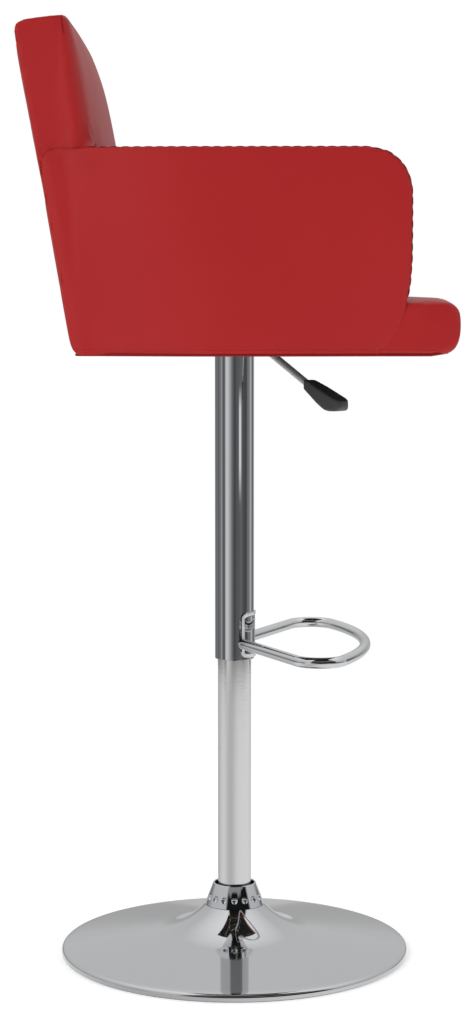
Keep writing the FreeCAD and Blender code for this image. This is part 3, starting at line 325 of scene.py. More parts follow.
def spun_bonded(name, code):
    made, tree, shader, place = blank(name)
    dimples = node(tree, "TexVoronoi", {"Vector": place, "Scale": per(2.2)}, distance="CHEBYCHEV")
    fibres = node(tree, "TexNoise", {"Vector": place, "Scale": per(1.1111), "Detail": 4})
    height = node(tree, "Math", {0: dimples, 1: fibres}, operation="ADD")
    bump = node(tree, "Bump", {"Height": height, "Strength": 0.5, "Distance": 0.3 * MM})
    tint = node(tree, "ValToRGB", {"Fac": fibres}, [(0.3, tone("0B0B0C")), (0.8, tone(code))])
    wire(tree, shader, {"Base Color": tint, "Normal": bump, "Roughness": 0.9})
    return made


def pine_ply(name, pale, dark):
    made, tree, shader, place = blank(name)
    along = node(tree, "Mapping", {"Vector": place, "Scale": (per(333.33), per(25), per(25))})
    rings = node(tree, "TexWave", {"Vector": along, "Scale": 1.5, "Distortion": 6.0, "Detail": 3})
    tint = node(tree, "ValToRGB", {"Fac": rings.outputs["Fac"]},
                [(0.2, tone(pale)), (0.9, tone(dark))])
    wire(tree, shader, {"Base Color": tint, "Roughness": 0.7})
    return made


grip_plastic = moulded("nylon_moulded_black", "404042", 0.40)
foot_plastic = moulded("polythene_ring_black", "1D1D1E", 0.5)
nylon = moulded("nylon_natural", "C9C4B0", 0.45)
stop_rubber = moulded("stop_rubber_black", "161616", 0.75, 0.8)
lining_cloth = spun_bonded("spun_bonded_lining_black", "202022")
ply = pine_ply("pine_ply_sawn", "C9A673", "A67C48")
print("plastics, lining and board are ready")

# %% [markdown]
# ## Finishing a piece
# A finished piece carries one material and rides on a frame body, and it stands for the frame
# nodes that it covers. The red covers end at the frame, so their faces under it show the black
# lining instead.

# %% Finishing a piece
covered = set()


def dress(obj, name, material, slot, body, *nodes):
    obj.name = name
    obj.data.name = name
    obj.data.materials.clear()
    obj.data.materials.append(material)
    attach(obj, body)
    if nodes:
        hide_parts(*nodes)
        covered.update(nodes)
    size = [round(side / MM, 1) for side in obj.dimensions]
    print(f"{obj.name}: {len(obj.data.polygons)} faces, {size} mm")


def line_below(obj, material, low_x, high_x, half_y):
    """Gives the lining's cloth to a cover's bottom faces and to its low faces by the frame."""
    obj.data.materials.append(material)
    for face in obj.data.polygons:
        x, y, z = face.center / MM
        beside = low_x < x < high_x and abs(y) < half_y and z < under + 8
        if beside or (face.normal.z < -0.7 and z < under + 1.5):
            face.material_index = 1


# %% [markdown]
# ## Turning a shape on the column's axis
# The foot, tubes, sleeve and collar are round. Each could be a cylinder with loops added, but a
# drawn outline spun about the axis gives every fillet its true radius, as turning does in a
# workshop. A plane is merged to one point, which is extruded along the outline and spun.

# %% Turned shapes
def arc(x, z, radius, start, end, parts=8):
    """Points on an arc about (x, z), in mm, from one angle in degrees to another."""
    turns = [radians(start + (end - start) * i / parts) for i in range(parts + 1)]
    return [(x + radius * cos(t), z + radius * sin(t)) for t in turns]


def drawn(points, closed=True):
    """A line of edges through points in mm, open for editing and all selected."""
    clear()
    bpy.ops.mesh.primitive_plane_add(size=MM)
    obj = edit(bpy.context.object)
    bpy.ops.mesh.select_mode(type="VERT")
    bpy.ops.mesh.select_all(action="SELECT")
    bpy.ops.mesh.merge(type="CENTER")
    points = [Vector(p) * MM for p in points]
    bpy.ops.transform.translate(value=points[0])
    for a, b in zip(points, points[1:]):
        bpy.ops.mesh.extrude_region_move(TRANSFORM_OT_translate={"value": b - a})
    if closed:
        ends = (points[0], points[-1])
        pick(lambda v: any((v.co - end).length < CLOSE for end in ends))
        bpy.ops.mesh.edge_face_add()
    bpy.ops.mesh.select_all(action="SELECT")
    return obj


def turned(outline, steps=144):
    obj = drawn([(x, 0, z) for x, z in outline])
    bpy.ops.mesh.spin(steps=steps, angle=math.tau, center=(0, 0, 0), axis=(0, 0, 1))
    return outward(obj, weld=True)


# %% [markdown]
# ## Foot
# The foot is a steel disc pressed into a trumpet: an upright rim, a shallow cone and a hollow
# sweep up to the neck. Its polish is what the eye reads, so the sweep has many short steps and the
# rim is rolled with a real radius.

# %% Foot
foot_low, foot_high = box_of("base_shell")
rim, wall, rim_edge = foot_high.x, 2.0, 2.0
cone, flare, sweep = radians(8.5), radians(50), 90.0
neck_radius = 34.8
flare_start = neck_radius + sweep * (sin(flare) - sin(cone))
cone_length = rim - rim_edge - flare_start
rim_top = foot_low.z + 8
cone_top = rim_top + cone_length * tan(cone)
sweep_x = flare_start + sweep * sin(cone)
sweep_z = cone_top + sweep * cos(cone)
start, end = 270 - math.degrees(cone), 270 - math.degrees(flare)
outer = arc(sweep_x, sweep_z, sweep, start, end, 40)
inner = arc(sweep_x, sweep_z, sweep + wall, end, start, 20)
cone_steps = [i / 24 for i in range(1, 24)]
cone_line = [(rim - rim_edge - cone_length * t, rim_top + (cone_top - rim_top) * t)
             for t in cone_steps]
rim_roll = arc(rim - 4.5, rim_top - 4.4, 4.5, 0, 81.5, 10)
foot = turned([(rim - wall, foot_low.z), (rim - 0.4, foot_low.z), (rim, foot_low.z + 0.5),
               *rim_roll, *cone_line, *outer, *inner,
               (rim - 4, rim_top - 2), (rim - wall, rim_top - 5)], 200)
dress(smooth(foot), "foot_shell", foot_chrome, "painted_base", "base", "base_shell")

# %% [markdown]
# ## Neck collar
# A chromed cone hides the join between the foot and the tube. It is spun, and its row of round
# dimples is cut by a ring of spheres with a Boolean, which leaves clean round mouths.

# %% Neck collar
collar_low, collar_high = box_of("trim_collar")
collar_top_radius, dimples = 25.3, 16
dimple_up, dimple_radius, dimple_out = 11, 5.2, 3.5
lean = (collar_high.x - collar_top_radius) / (collar_high.z - collar_low.z)
lip = arc(collar_top_radius - 1, collar_high.z - 1, 1, 20, 180, 8)
collar = turned([(collar_high.x - 2.2, collar_low.z + 1.6),
                 (collar_high.x - 0.5, collar_low.z + 0.1),
                 (collar_high.x, collar_low.z + 0.4), *lip,
                 (collar_top_radius - 2.1, collar_high.z - 2)], 256)
dimple_at = (collar_high.x - lean * dimple_up + dimple_out, 0, collar_low.z + dimple_up)
clear()
bpy.ops.mesh.primitive_uv_sphere_add(segments=32, ring_count=16, radius=dimple_radius * MM,
                                     location=Vector(dimple_at) * MM)
cutter = opened()
for i in range(1, dimples):
    bpy.ops.mesh.duplicate()
    bpy.ops.transform.rotate(value=math.tau / dimples, orient_axis="Z", center_override=(0, 0, 0))
combine(collar, "DIFFERENCE", cutter)
dress(smooth(collar, 25), "neck_collar", chrome, "chrome", "base", "trim_collar")

# %% [markdown]
# ## Standing tube and sleeve
# The fixed tube stands in the foot, and the chromed sleeve slides down over it with the seat. Both
# are drawn tube, cut square and lightly rounded at the ends.

# %% Standing tube and sleeve
def tube(name, edge, wall=1.5):
    """A tube that fills a node's box, with its ends eased by edge, in mm."""
    (_, _, low), (outside, _, high) = box_of(name)
    inside = outside - wall
    return turned([(inside, low + edge), (inside + edge, low), (outside - edge, low),
                   (outside, low + edge), (outside, high - edge), (outside - edge, high),
                   (inside + edge, high), (inside, high - edge)], 128)


standing = tube("standing_tube", 0.5)
dress(smooth(standing), "standing_tube_skin", satin_plate, "bright_steel", "base", "standing_tube")

sleeve = tube("cover_sleeve", 0.6)
dress(smooth(sleeve), "cover_sleeve_skin", chrome, "chrome", "seat", "cover_sleeve")

# %% [markdown]
# ## Bending tube
# The foot loop and the lever's rod are bent bar. A curve with a round bevel would do, but a bender
# makes straight runs and true arcs, and so do extrude and spin: the end ring is extruded along a
# run, then spun about the centre of each bend.

# %% Bent bars
def bent_bar(radius, start, heading, moves, sides):
    """moves are ("run", length) or ("bend", radius, degrees, axis), in mm; up is the usual axis."""
    clear()
    heading = Vector(heading).normalized()
    facing = heading.to_track_quat("Z", "Y").to_euler()
    bpy.ops.mesh.primitive_circle_add(vertices=sides, radius=radius * MM,
                                      location=Vector(start) * MM, rotation=facing)
    obj = opened()
    bpy.ops.mesh.edge_face_add()
    bpy.ops.mesh.select_mode(type="FACE")
    at = Vector(start)
    for kind, length, *turning in moves:
        if kind == "run":
            bpy.ops.mesh.extrude_region_move(
                TRANSFORM_OT_translate={"value": heading * length * MM})
            at = at + heading * length
        else:
            degrees, axis = (*turning, Vector((0, 0, 1)))[:2]
            centre = at + axis.cross(heading).normalized() * copysign(length, degrees)
            turn = Matrix.Rotation(radians(degrees), 3, axis)
            bpy.ops.mesh.spin(steps=max(4, round(abs(degrees) / 3)), angle=-radians(degrees),
                              center=centre * MM, axis=axis)
            at, heading = centre + turn @ (at - centre), turn @ heading
    print("bar ends at", [round(c, 1) for c in at])
    return outward(obj, weld=True)


# %% [markdown]
# ## Foot loop and its saddle
# The loop leaves the saddle in two straight legs, turns two tight corners, and closes in a wide
# bow where the feet rest. Its outline follows from the bow, the corners and the half-width.

# %% Foot loop
loop_low, loop_high = box_of("foot_loop")
bar = 6.25
level = (loop_low.z + loop_high.z) / 2
bow, corner_radius, half_width, front = 330.0, 28.0, 160.0, 153.0
corner_y = half_width - corner_radius
corner_x = front - bow + sqrt((bow - corner_radius) ** 2 - corner_y ** 2)
leg = sqrt(hypot(corner_x, corner_y) ** 2 - corner_radius ** 2)
leg_angle = math.degrees(atan2(corner_y, corner_x) + atan2(corner_radius, leg))
bow_angle = math.degrees(atan2(corner_y, corner_x - front + bow))
root = 23.0
away = Vector((cos(radians(leg_angle)), -sin(radians(leg_angle)), 0))
straight, turn = ("run", leg - root), ("bend", corner_radius, leg_angle + 90 - bow_angle)
loop = bent_bar(bar, (away.x * root, away.y * root, level), away,
                [straight, turn, ("bend", bow, 2 * bow_angle), turn, straight], 32)
dress(smooth(loop), "foot_loop_bar", bar_chrome, "chrome", "seat", "foot_loop")

# %% [markdown]
# The saddle is a plate rolled to the sleeve's radius and welded on, with round corners and a
# raised border. It is made flat, as the blank is cut: the middle of a fine grid is pressed in,
# Solidify gives it a thickness, and a block with round corners trims it with a Boolean. Its points
# are then wrapped round the sleeve, as rolling does.

# %% Saddle
saddle_low, saddle_high = box_of("loop_saddle")
saddle_inner = box_of("cover_sleeve")[1].x + 0.05
saddle_wrap, saddle_thick, corner_round, border, pressed = 70.0, 2.2, 7.0, 3.0, 0.9
saddle_half = radians(saddle_wrap) * saddle_inner
saddle_height = saddle_high.z - saddle_low.z
clear()
bpy.ops.mesh.primitive_grid_add(x_subdivisions=70, y_subdivisions=56, size=1)
saddle = bpy.context.object
bpy.ops.transform.resize(value=(saddle_half * 2 * MM, saddle_height * MM, 1))
bpy.ops.object.transform_apply()


def pressed_in(x, y, z):
    past = [abs(x) - saddle_half + corner_round, abs(y) - saddle_height / 2 + corner_round]
    inside = corner_round - (hypot(*past) if min(past) > 0 else max(past))
    return x, y, -pressed * min(1, max(0, (inside - border) / pressed))


shaped(saddle, pressed_in)
apply_modifier(saddle, "SOLIDIFY", thickness=saddle_thick * MM, offset=-1)
clear()
bpy.ops.mesh.primitive_cube_add(size=MM, scale=(2 * saddle_half, saddle_height, 20))
blank_edge = opened()
pick(lambda e: abs(e.verts[0].co.z - e.verts[1].co.z) > 10 * MM, "EDGE")
bpy.ops.mesh.bevel(offset=corner_round * MM, segments=10)
bpy.ops.mesh.select_all(action="SELECT")
bpy.ops.transform.resize(value=(0.996, 0.996, 1), center_override=(0, 0, 0))
combine(saddle, "INTERSECT", blank_edge)


def rolled(x, y, z):
    angle, out = x / saddle_inner, saddle_inner + saddle_thick + z
    return out * cos(angle), out * sin(angle), (saddle_low.z + saddle_high.z) / 2 + y


outward(edit(shaped(saddle, rolled)))
dress(smooth(saddle, 30), "loop_saddle_plate", saddle_plate_painted_highlight, "chrome", "seat", "loop_saddle")
# The raised border keeps the painted highlight; the pressed recess and the inner faces get plain
# chrome.
saddle.data.materials.append(chrome)
for face in saddle.data.polygons:
    if hypot(*face.center.xy) / MM < saddle_inner + saddle_thick - 0.5:
        face.material_index = 1

# %% [markdown]
# ## Drawing a side view and giving it width
# The grip and the padded blocks have a side view that is easy to draw and a plain width. They
# could be cut out of cubes, but an outline that is filled and extruded is exact. Blocks that
# overlap are joined and remeshed into one skin.

# %% Slabs
def slab(outline, low, high):
    """A block whose side view is the outline, in mm, from one width to the other along Y."""
    obj = drawn([(x, low, z) for x, z in outline])
    bpy.ops.mesh.edge_face_add()
    bpy.ops.mesh.extrude_region_move(TRANSFORM_OT_translate={"value": (0, (high - low) * MM, 0)})
    return outward(obj)


def joined(obj, *others):
    take(obj, *others)
    bpy.ops.object.join()
    return obj


def reskinned(obj, voxel):
    """One closed skin over the mesh, with points a fixed number of mm apart."""
    take(obj)
    obj.data.remesh_voxel_size = voxel * MM
    obj.data.remesh_voxel_adaptivity = 0
    bpy.ops.object.voxel_remesh()
    print(obj.name, "has", len(obj.data.vertices), "points after the remesh")
    return obj


def turn_to(obj, degrees):
    """Turns a piece made along X to its heading about the column's axis."""
    take(obj)
    obj.rotation_euler.z = radians(degrees)
    bpy.ops.object.transform_apply()


def ease(low, high, value):
    """Goes smoothly from 0 to 1 as the value goes from low to high."""
    t = min(1, max(0, (value - low) / (high - low)))
    return t * t * (3 - 2 * t)


# %% [markdown]
# ## Lever
# The lever is a plated rod that lies on the gas spring's button, turns on a cross boss, and droops
# out from under the seat. It is a bent bar like the foot loop, and the boss is a short rounded
# cylinder, joined to it with a Boolean so that they are one piece.

# %% Lever rod
lever_heading, lever_level = -45.0, 726.0
out = Vector((cos(radians(lever_heading)), sin(radians(lever_heading)), 0))
across = Vector((-out.y, out.x, 0))
droop, bend_at, bend_round = radians(30), 26.0, 14.0
bend_end = bend_at + bend_round * sin(droop)
bend_top = lever_level - bend_round * (1 - cos(droop))
rod_radius, rod_start, rod_end = 4.0, -5.0, 146.0
rod = bent_bar(rod_radius, (*(out * rod_start).xy, lever_level), out,
               [("run", bend_at - rod_start), ("bend", bend_round, math.degrees(droop), across),
                ("run", (rod_end - bend_end) / cos(droop))], 24)
clear()
pivot_at, boss_radius, boss_width = 22.5, 5.5, 10.0
bpy.ops.mesh.primitive_cylinder_add(vertices=40, radius=boss_radius * MM, depth=boss_width * MM,
                                    location=(pivot_at * MM, 0, lever_level * MM),
                                    rotation=(math.pi / 2, 0, 0))
boss = opened()
pick(lambda e: abs(e.verts[0].co.y - e.verts[1].co.y) < CLOSE, "EDGE")
bpy.ops.mesh.bevel(offset=0.6 * MM, segments=3)
turn_to(boss, lever_heading)
combine(rod, "UNION", boss)
dress(smooth(rod, 40), "lever_bar", lever_steel, "bright_steel", "lever", "lever_rod")

# %% [markdown]
# ## Grip
# The grip is a moulded paddle pushed onto the rod. Its sole follows the rod and its top slopes
# less, so it thickens towards the tip. Its side view is one slab, and its plan is another laid
# flat, narrow at the heel and round at the tip. A Boolean keeps what they share, and a fine remesh
# and a Smooth modifier round the edges as a mould does.

# %% Grip
heel_at, grip_length, grip_half, heel_half = 116.0, 57.0, 10.5, 7.4
heel = bend_top - (heel_at - bend_end) * tan(droop)
tip = heel_at + grip_length
sole, roof = tan(radians(33)), tan(radians(22))
bottom = heel - 6.2 - 36 * sole
grip = slab([(heel_at, heel - 6.2), (heel_at + 31, bottom + 3), (heel_at + 36, bottom + 0.7),
             (heel_at + 42, bottom), (tip - 6.5, bottom + 0.2), (tip - 3.2, bottom + 1.4),
             (tip - 1.1, bottom + 3.6), (tip + 0.5, bottom + 8), (tip + 2, heel + 2.4 - 55 * roof),
             (tip - 3, heel + 4.4 - 52 * roof), (heel_at + 6, heel + 4.4),
             (heel_at, heel + 4.4)], -20, 20)
turns = [radians(90 - 180 * i / 16) for i in range(17)]
plan = [(tip - 9 + 9 * cos(t) ** 0.75, grip_half * copysign(abs(sin(t)) ** 0.75, t))
        for t in turns]
flank = [(heel_at - 0.01, heel_half), (heel_at + 5, heel_half + 0.4), (heel_at + 22, grip_half)]
plan = [*flank, *plan, *[(x, -y) for x, y in flank[::-1]]]
footprint = shaped(slab(plan, heel - 60, heel + 30), lambda x, y, z: (x, z, y))
combine(grip, "INTERSECT", outward(edit(footprint)))
reskinned(grip, 0.8)
apply_modifier(grip, "SMOOTH", factor=0.5, iterations=45)
turn_to(grip, lever_heading)
dress(smooth(grip, 60), "lever_paddle", grip_plastic, "black_plastic", "lever", "lever_grip")

# %% [markdown]
# ## Padded shell: back and arms
# The back and arms are ply boards wrapped in foam under one vinyl cover, whose arm sides run on
# into the sides of the back. Three cushions pushed together would leave gaps where the real cover
# has none, so three blocks are overlapped and remeshed into one skin. `rear` is the leaning line
# of the back, and the depths below are measured from it.

# %% Side views of the back and arms
under, arm_top, back_top = 711.5, 929.1, 1068.5
arm_inner, arm_outer, back_side = 204.3, 250.0, 230.0


def rear(z):
    return -170.5 - (z - under) * tan(radians(10.17))


side_seam = 59.0
hem_round = [(9, under), (3, 713.2), (0.4, 717.5), (0, 724)]
back_view = [*hem_round, (0, 1050), (0.8, 1055), (3.2, 1059.5), (7.5, 1063), (15, 1065.2),
             (28, 1067.2), (42, back_top), (54, 1068.2), (57.5, 1066.6), (side_seam, 1063),
             (side_seam, under)]
back_view = [(rear(z) + depth, z) for depth, z in back_view]
arm_front, corner_reach, squareness = 186, 54, 2.4    # a circle's corner has a squareness of 2
turns = [math.pi / 2 * (1 - i / 12) for i in range(13)]
front_corner = [(arm_front - corner_reach * (1 - cos(t) ** (2 / squareness)),
                 arm_top - corner_reach * (1 - sin(t) ** (2 / squareness))) for t in turns]
toe = [(150.5, under), (153, 717.7), (159.3, 720.8), (166.6, 727.5), (173.3, 739.7),
       (178.4, 752), (181.6, 769), (184.4, 788), (186, 812)]
rear_corner = [(rear(arm_top - 24) + 0.5, arm_top - 24), (rear(arm_top - 14) + 3, arm_top - 12),
               (rear(arm_top) + 11, arm_top - 3), (rear(arm_top) + 24, arm_top)]
arm_view = [*[(rear(z) + depth, z) for depth, z in hem_round[::-1]], *toe, *front_corner[::-1],
            *rear_corner[::-1]]
print("back view has", len(back_view), "corners and arm view", len(arm_view))

# %% [markdown]
# The voxel size has to be finer than the smallest step that should survive, and 5 mm keeps the arm
# tops crisp. Each point then moves to where the stretched cover would be: the outer side draws in
# to meet the back and the seat, and the front of the back swells between seams.

# %% Skin over the blocks
def outer_side(x, z):
    """Half-width of the cover's outer side at a place in the side view."""
    at_back = 19 * (1 - ease(0, 150, x - rear(z)))
    at_toe = 8 * ease(30, 172, x) * (1 - ease(725, 850, z))
    return arm_outer - at_back - at_toe


def shell_rule(x, y, z):
    side, width = copysign(1, y), abs(y)
    depth = x - rear(z)
    if width > back_side:
        drawn_in = (outer_side(x, z) - back_side) / (arm_outer - back_side)
        width = back_side + (width - back_side) * drawn_in
    corner = 14.0
    past_side, past_front = width - (back_side - corner), depth - (side_seam - corner)
    if z > arm_top - 6 and past_side > 0 and past_front > 0 and width < back_side + 0.5:
        rounding = 1 - max(past_side, past_front) / hypot(past_side, past_front)
        keep = 1 - rounding * ease(arm_top - 6, arm_top + 12, z)
        width, x = back_side - corner + past_side * keep, x - past_front * (1 - keep)
    depth = x - rear(z)
    if depth > side_seam - 10 and (z > arm_top + 2 or width < arm_inner - 1):
        swell = 12.5 * max(0, 1 - (width / 228) ** 3) * (1 - math.exp(-(back_top - z) / 25))
        x += swell * ease(side_seam - 10, side_seam - 1, depth)
    return x, side * width, z


shell = slab(back_view, -back_side, back_side)
arms = [slab(arm_view, *sorted((side * arm_inner, side * arm_outer))) for side in (-1, 1)]
shell = shaped(reskinned(joined(shell, *arms), 5), shell_rule)

# %% [markdown]
# ## Filling the cover
# Foam pushes the cover out between its seams. A cloth simulation with a little pressure and no
# gravity gives that crown. The seams are pinned, and a point's way is eased towards a limit, since
# vinyl stretched over firm foam rises only a few millimetres.

# %% Cloth fill
def filled(obj, pinned, limit, pressure=4.0, frames=20):
    """Swells a closed cover, with its pinned places held and no point moved past the limit."""
    before = [point.co.copy() for point in obj.data.vertices]
    held = obj.vertex_groups.new(name="held")
    held.add([p.index for p in obj.data.vertices if pinned(*(p.co / MM))], 1.0, "ADD")
    take(obj)
    cloth = obj.modifiers.new("Cloth", "CLOTH")
    rules = cloth.settings
    rules.vertex_group_mass, rules.effector_weights.gravity = held.name, 0
    rules.use_pressure, rules.uniform_pressure_force = True, pressure
    for moment in range(1, frames + 1):
        bpy.context.scene.frame_set(moment)
    bpy.ops.object.modifier_apply(modifier=cloth.name)
    bpy.context.scene.frame_set(1)
    obj.vertex_groups.clear()
    most = 0.0
    for point, start in zip(obj.data.vertices, before):
        push = (point.co - start) / MM
        if push.length > CLOSE:
            push *= limit * math.tanh(push.length / limit) / push.length
        most = max(most, push.length)
        point.co = start + push * MM
    obj.data.update()
    print(obj.name, "swelled by up to", round(most, 1), "mm")


def shell_seam(x, y, z):
    depth, width = x - rear(z), abs(y)
    arm_edge = width > arm_inner - 3 and (
        abs(width - outer_side(x, z)) < 3.5 or abs(width - arm_inner) < 3.5)
    on_rim = z > arm_top - 4 or (x > 132 and hypot(x - 132, max(0, z - 875.1)) > 48)
    top_edge = z > back_top - 8 and abs(depth - side_seam) < 8
    foot = z < under + 4
    return foot or top_edge or (arm_edge and on_rim and z < arm_top + 4 and depth > 60)


filled(shell, shell_seam, 2.6)


def over_boards(x, y, z):
    """Keeps the cover outside the arm boards, which lie close under it near the back."""
    depth = x - rear(z)
    if abs(y) > 222 and z < arm_top - 2 and depth > 1:
        room = 230 + 3 * ease(1, 9, depth) * ease(arm_top - 2, arm_top - 22, z)
        y = copysign(max(abs(y), room), y)
    return x, y, z


shaped(shell, over_boards)
take(shell)
bpy.ops.object.shade_smooth()
dress(shell, "arm_back_shell", red_vinyl, "upholstery", "seat",
      "back_pad", "arm_pad_left", "arm_pad_right")
line_below(shell, lining_cloth, -118, 226, 209)

# %% [markdown]
# ## Seat cushion
# The seat is a covered block of foam that reaches out in front of the arms. It is made as two
# blocks, one between the arms and a wider one in front of them, skinned together, softened and
# filled. Its front crowns forward and its top upward. Last, the space for the frame and board is
# cut from below.

# %% Seat cushion
seat_top, seat_side, ear_side, seat_rear, toe_overlap = 769.0, 203.4, 243.0, -98.5, 10
seat_lean = 0.1794
nose = [*arc(226, 754, 15, 0, 90, 8)[::-1], (241, 742), (240.4, 733), (238.8, 726),
        (235.5, 719), (229.5, 714), (221, 711.9), (214, under)]
ear_rear = [(x - toe_overlap, z) for x, z in toe if z < seat_top]
middle = slab([(seat_rear, under), (seat_rear - (seat_top - under) * seat_lean, seat_top), *nose],
              -seat_side, seat_side)
front = slab([*ear_rear, (ear_rear[-1][0] + 0.4, seat_top), *nose], -ear_side, ear_side)
seat = reskinned(joined(middle, front), 5)
apply_modifier(seat, "SMOOTH", factor=0.5, iterations=8)


def seat_rule(x, y, z):
    side, width = copysign(1, y), abs(y)
    share = min(1, width / ear_side)
    crown = 1 - share ** 4
    if z > 740:
        z += ease(740, 767, z) * (crown * (3 * ease(241, 150, x) + 1) - 1.6 * share ** 6)
    if x > 200:
        x += ease(200, 236, x) * (1.8 * crown - 2.4 * share ** 6)
    if width > 190 and z > 735 and x > 200:
        width -= 3.0 * ease(735, 768, z)
    return x, side * width, z


shaped(seat, seat_rule)
filled(seat, lambda x, y, z: z < under + 5 or x < -94 or (x < 183 and abs(y) > seat_side - 4), 2.4)
toe_x, toe_z = zip(*toe)


def seat_limits(x, y, z):
    """Keeps the filled cushion clear of the arms, the back and the level of the hem."""
    width = abs(y)
    if x < 180 and width > seat_side and z < seat_top + 4:
        edge = numpy.interp(z, toe_z, toe_x)
        if x < edge - 13:
            width = seat_side
        else:
            x = max(x, edge - 12)
    return x, copysign(min(width, ear_side - 0.5), y), max(z, under)


shaped(seat, seat_limits)
clear()
frame_low, frame_high = box_of("seat_frame")
pocket_top, pocket_base, gap = box_of("seat_board")[1].z + 1.6, 690, 0.8
size = (frame_high.x - frame_low.x + gap, frame_high.y - frame_low.y + gap,
        pocket_top - pocket_base)
centre = Vector(((frame_low.x + frame_high.x) / 2, 0, (pocket_top + pocket_base) / 2))
bpy.ops.mesh.primitive_cube_add(size=MM, location=centre * MM, scale=size)
combine(seat, "DIFFERENCE", opened())
dress(smooth(seat, 50), "seat_cushion_cover", red_vinyl, "upholstery", "seat", "seat_cushion")
line_below(seat, lining_cloth, -110, 226, 208)

# %% [markdown]
# ## Seams and stitches
# A seam shows as a thin folded edge, drawn in a darker copy of the vinyl as painted shade in its
# crease, and the arms' seams carry thick thread, whose stitches stand proud and scallop the
# outline.
# A path is laid near the edge, its points are dropped onto the cover, and a bead follows it. One
# stitch is modelled, copied along the path and joined.

# %% Beads and stitches
def on_cover(cover, points, proud):
    """Points in mm dropped onto a cover and lifted off it, with its direction there."""
    found = []
    for point in points:
        _, place, facing, _ = cover.closest_point_on_mesh(Vector(point) * MM)
        found.append((place / MM + facing * proud, facing))
    return found


def even(points, pitch):
    """Places a fixed pitch apart along a line of points, each with its heading."""
    places, spare = [], 0.0
    for a, b in zip(points, points[1:]):
        run = (b - a).length
        while spare <= run:
            places.append((a + (b - a) * spare / run, (b - a).normalized()))
            spare += pitch
        spare -= run
    return places


def bead(points, radius):
    """A round cord along points in mm: edges made a curve with a bevel."""
    obj = drawn(points, closed=False)
    bpy.ops.object.mode_set(mode="OBJECT")
    bpy.ops.object.convert(target="CURVE")
    obj.data.bevel_depth = radius * MM
    obj.data.bevel_resolution = 2
    obj.data.use_fill_caps = True
    bpy.ops.object.convert(target="MESH")
    return smooth(bpy.context.object, 80)


def copied(first, places):
    """One piece made of copies of another, at places given as matrices."""
    copies = []
    for place in places:
        copies.append(first.copy())
        copies[-1].data = first.data.copy()
        bpy.context.collection.objects.link(copies[-1])
        copies[-1].matrix_world = place
    bpy.data.objects.remove(first)
    joined(*copies)
    bpy.ops.object.transform_apply()
    return copies[0]


def stitch_row(cover, points, pitch, length, thick, proud, reach=4):
    """Stitches a pitch apart, turned by the cover's direction within reach, in mm."""
    clear()
    bpy.ops.mesh.primitive_uv_sphere_add(segments=8, ring_count=6, radius=0.5 * MM)
    first = bpy.context.object
    bpy.ops.transform.resize(value=(length, thick, thick))
    bpy.ops.object.transform_apply()
    row = []
    for place, heading in even(points, pitch):
        near = on_cover(cover, [place, place - heading * reach, place + heading * reach], proud)
        spot, facing = near[0][0], sum((f for _, f in near), Vector()).normalized()
        side = facing.cross(heading).normalized()
        turn = Matrix((side.cross(facing), side, facing)).transposed().to_4x4()
        row.append(Matrix.Translation(spot * MM) @ turn)
    return smooth(copied(first, row), 80)


print("beads and stitches can be laid")

# %% [markdown]
# The arms' seams run along the top and round the front. On the outer side they start where the
# back ends, and they stop at the seat.

# %% Arm seams
def line_between(points, step=4.0):
    """A line of points a few mm apart along straight runs."""
    line = [Vector(points[0])]
    for a, b in zip(points, points[1:]):
        a, b = Vector(a), Vector(b)
        count = max(1, round((b - a).length / step))
        line += [a + (b - a) * i / count for i in range(1, count + 1)]
    return line


# A seam's bead is in the darker vinyl by default, painted shade in the crease of the fold.
def seam(cover, line, name, proud=-0.25, radius=0.8, material=shaded_vinyl):
    """A bead laid along a line on a cover."""
    fold = bead([p for p, _ in on_cover(cover, line, proud)], radius)
    dress(fold, name, material, "upholstery", "seat")


seam_inset = 2.0
arm_rim = [(-150, arm_top), *front_corner, (186, 812), (184.4, 788), (182.6, 775)]
for name, side in (("left", 1), ("right", -1)):
    for edge in ("outer", "inner"):
        widths = [outer_side(x, z) - seam_inset if edge == "outer" else arm_inner + seam_inset
                  for x, z in arm_rim]
        rim_line = line_between([(x, side * width, z) for (x, z), width in zip(arm_rim, widths)])
        seam(shell, rim_line, f"arm_seam_{edge}_{name}")
        row = stitch_row(shell, rim_line, 12.0, 10.0, 1.8, 0.2)
        dress(row, f"arm_stitches_{edge}_{name}", dark_thread, "upholstery", "seat")

# %% [markdown]
# The back's front panel is sewn on with a plain seam, a thin fold. The hem is where the cover
# turns under the frame and is stapled: an edge round the bottom, painted dark as the shade under
# the turn, with a faint ridge above it where the folded cloth ends.

# %% Back seam and hem
half_seam = [(rear(1048) + side_seam - 7, back_side - 1, 1048),
             (rear(1060) + side_seam - 7, back_side - 1, 1060),
             (rear(1066) + side_seam - 6, back_side - 5, 1067)]
seam(shell, line_between([*[(x, -y, z) for x, y, z in half_seam],
                          (rear(1067) + side_seam - 4, 0, 1068), *half_seam[::-1]]),
     "back_panel_seam")
quarter = [radians(a) for a in range(0, 91, 15)]


def hem_line(z):
    back = rear(z) + 1.5
    half = [(back, 0), (back, 120),
            *[(back + 10 * (1 - cos(t)), 222 + 9 * sin(t)) for t in quarter],
            *[(x, outer_side(x, z) - 1.0) for x in (*range(-140, 141, 20), 149)]]
    return [(x, -y, z) for x, y in half[::-1]] + [(x, y, z) for x, y in half[1:]]


def front_hem_line(z):
    half = [(149, 242), (195, 241.5),
            *[(213 + 12 * sin(t), 229 + 12 * cos(t)) for t in quarter],
            (225.5, 120), (225.5, 0)]
    return [(x, y, z) for x, y in half] + [(x, -y, z) for x, y in half[::-1][1:]]


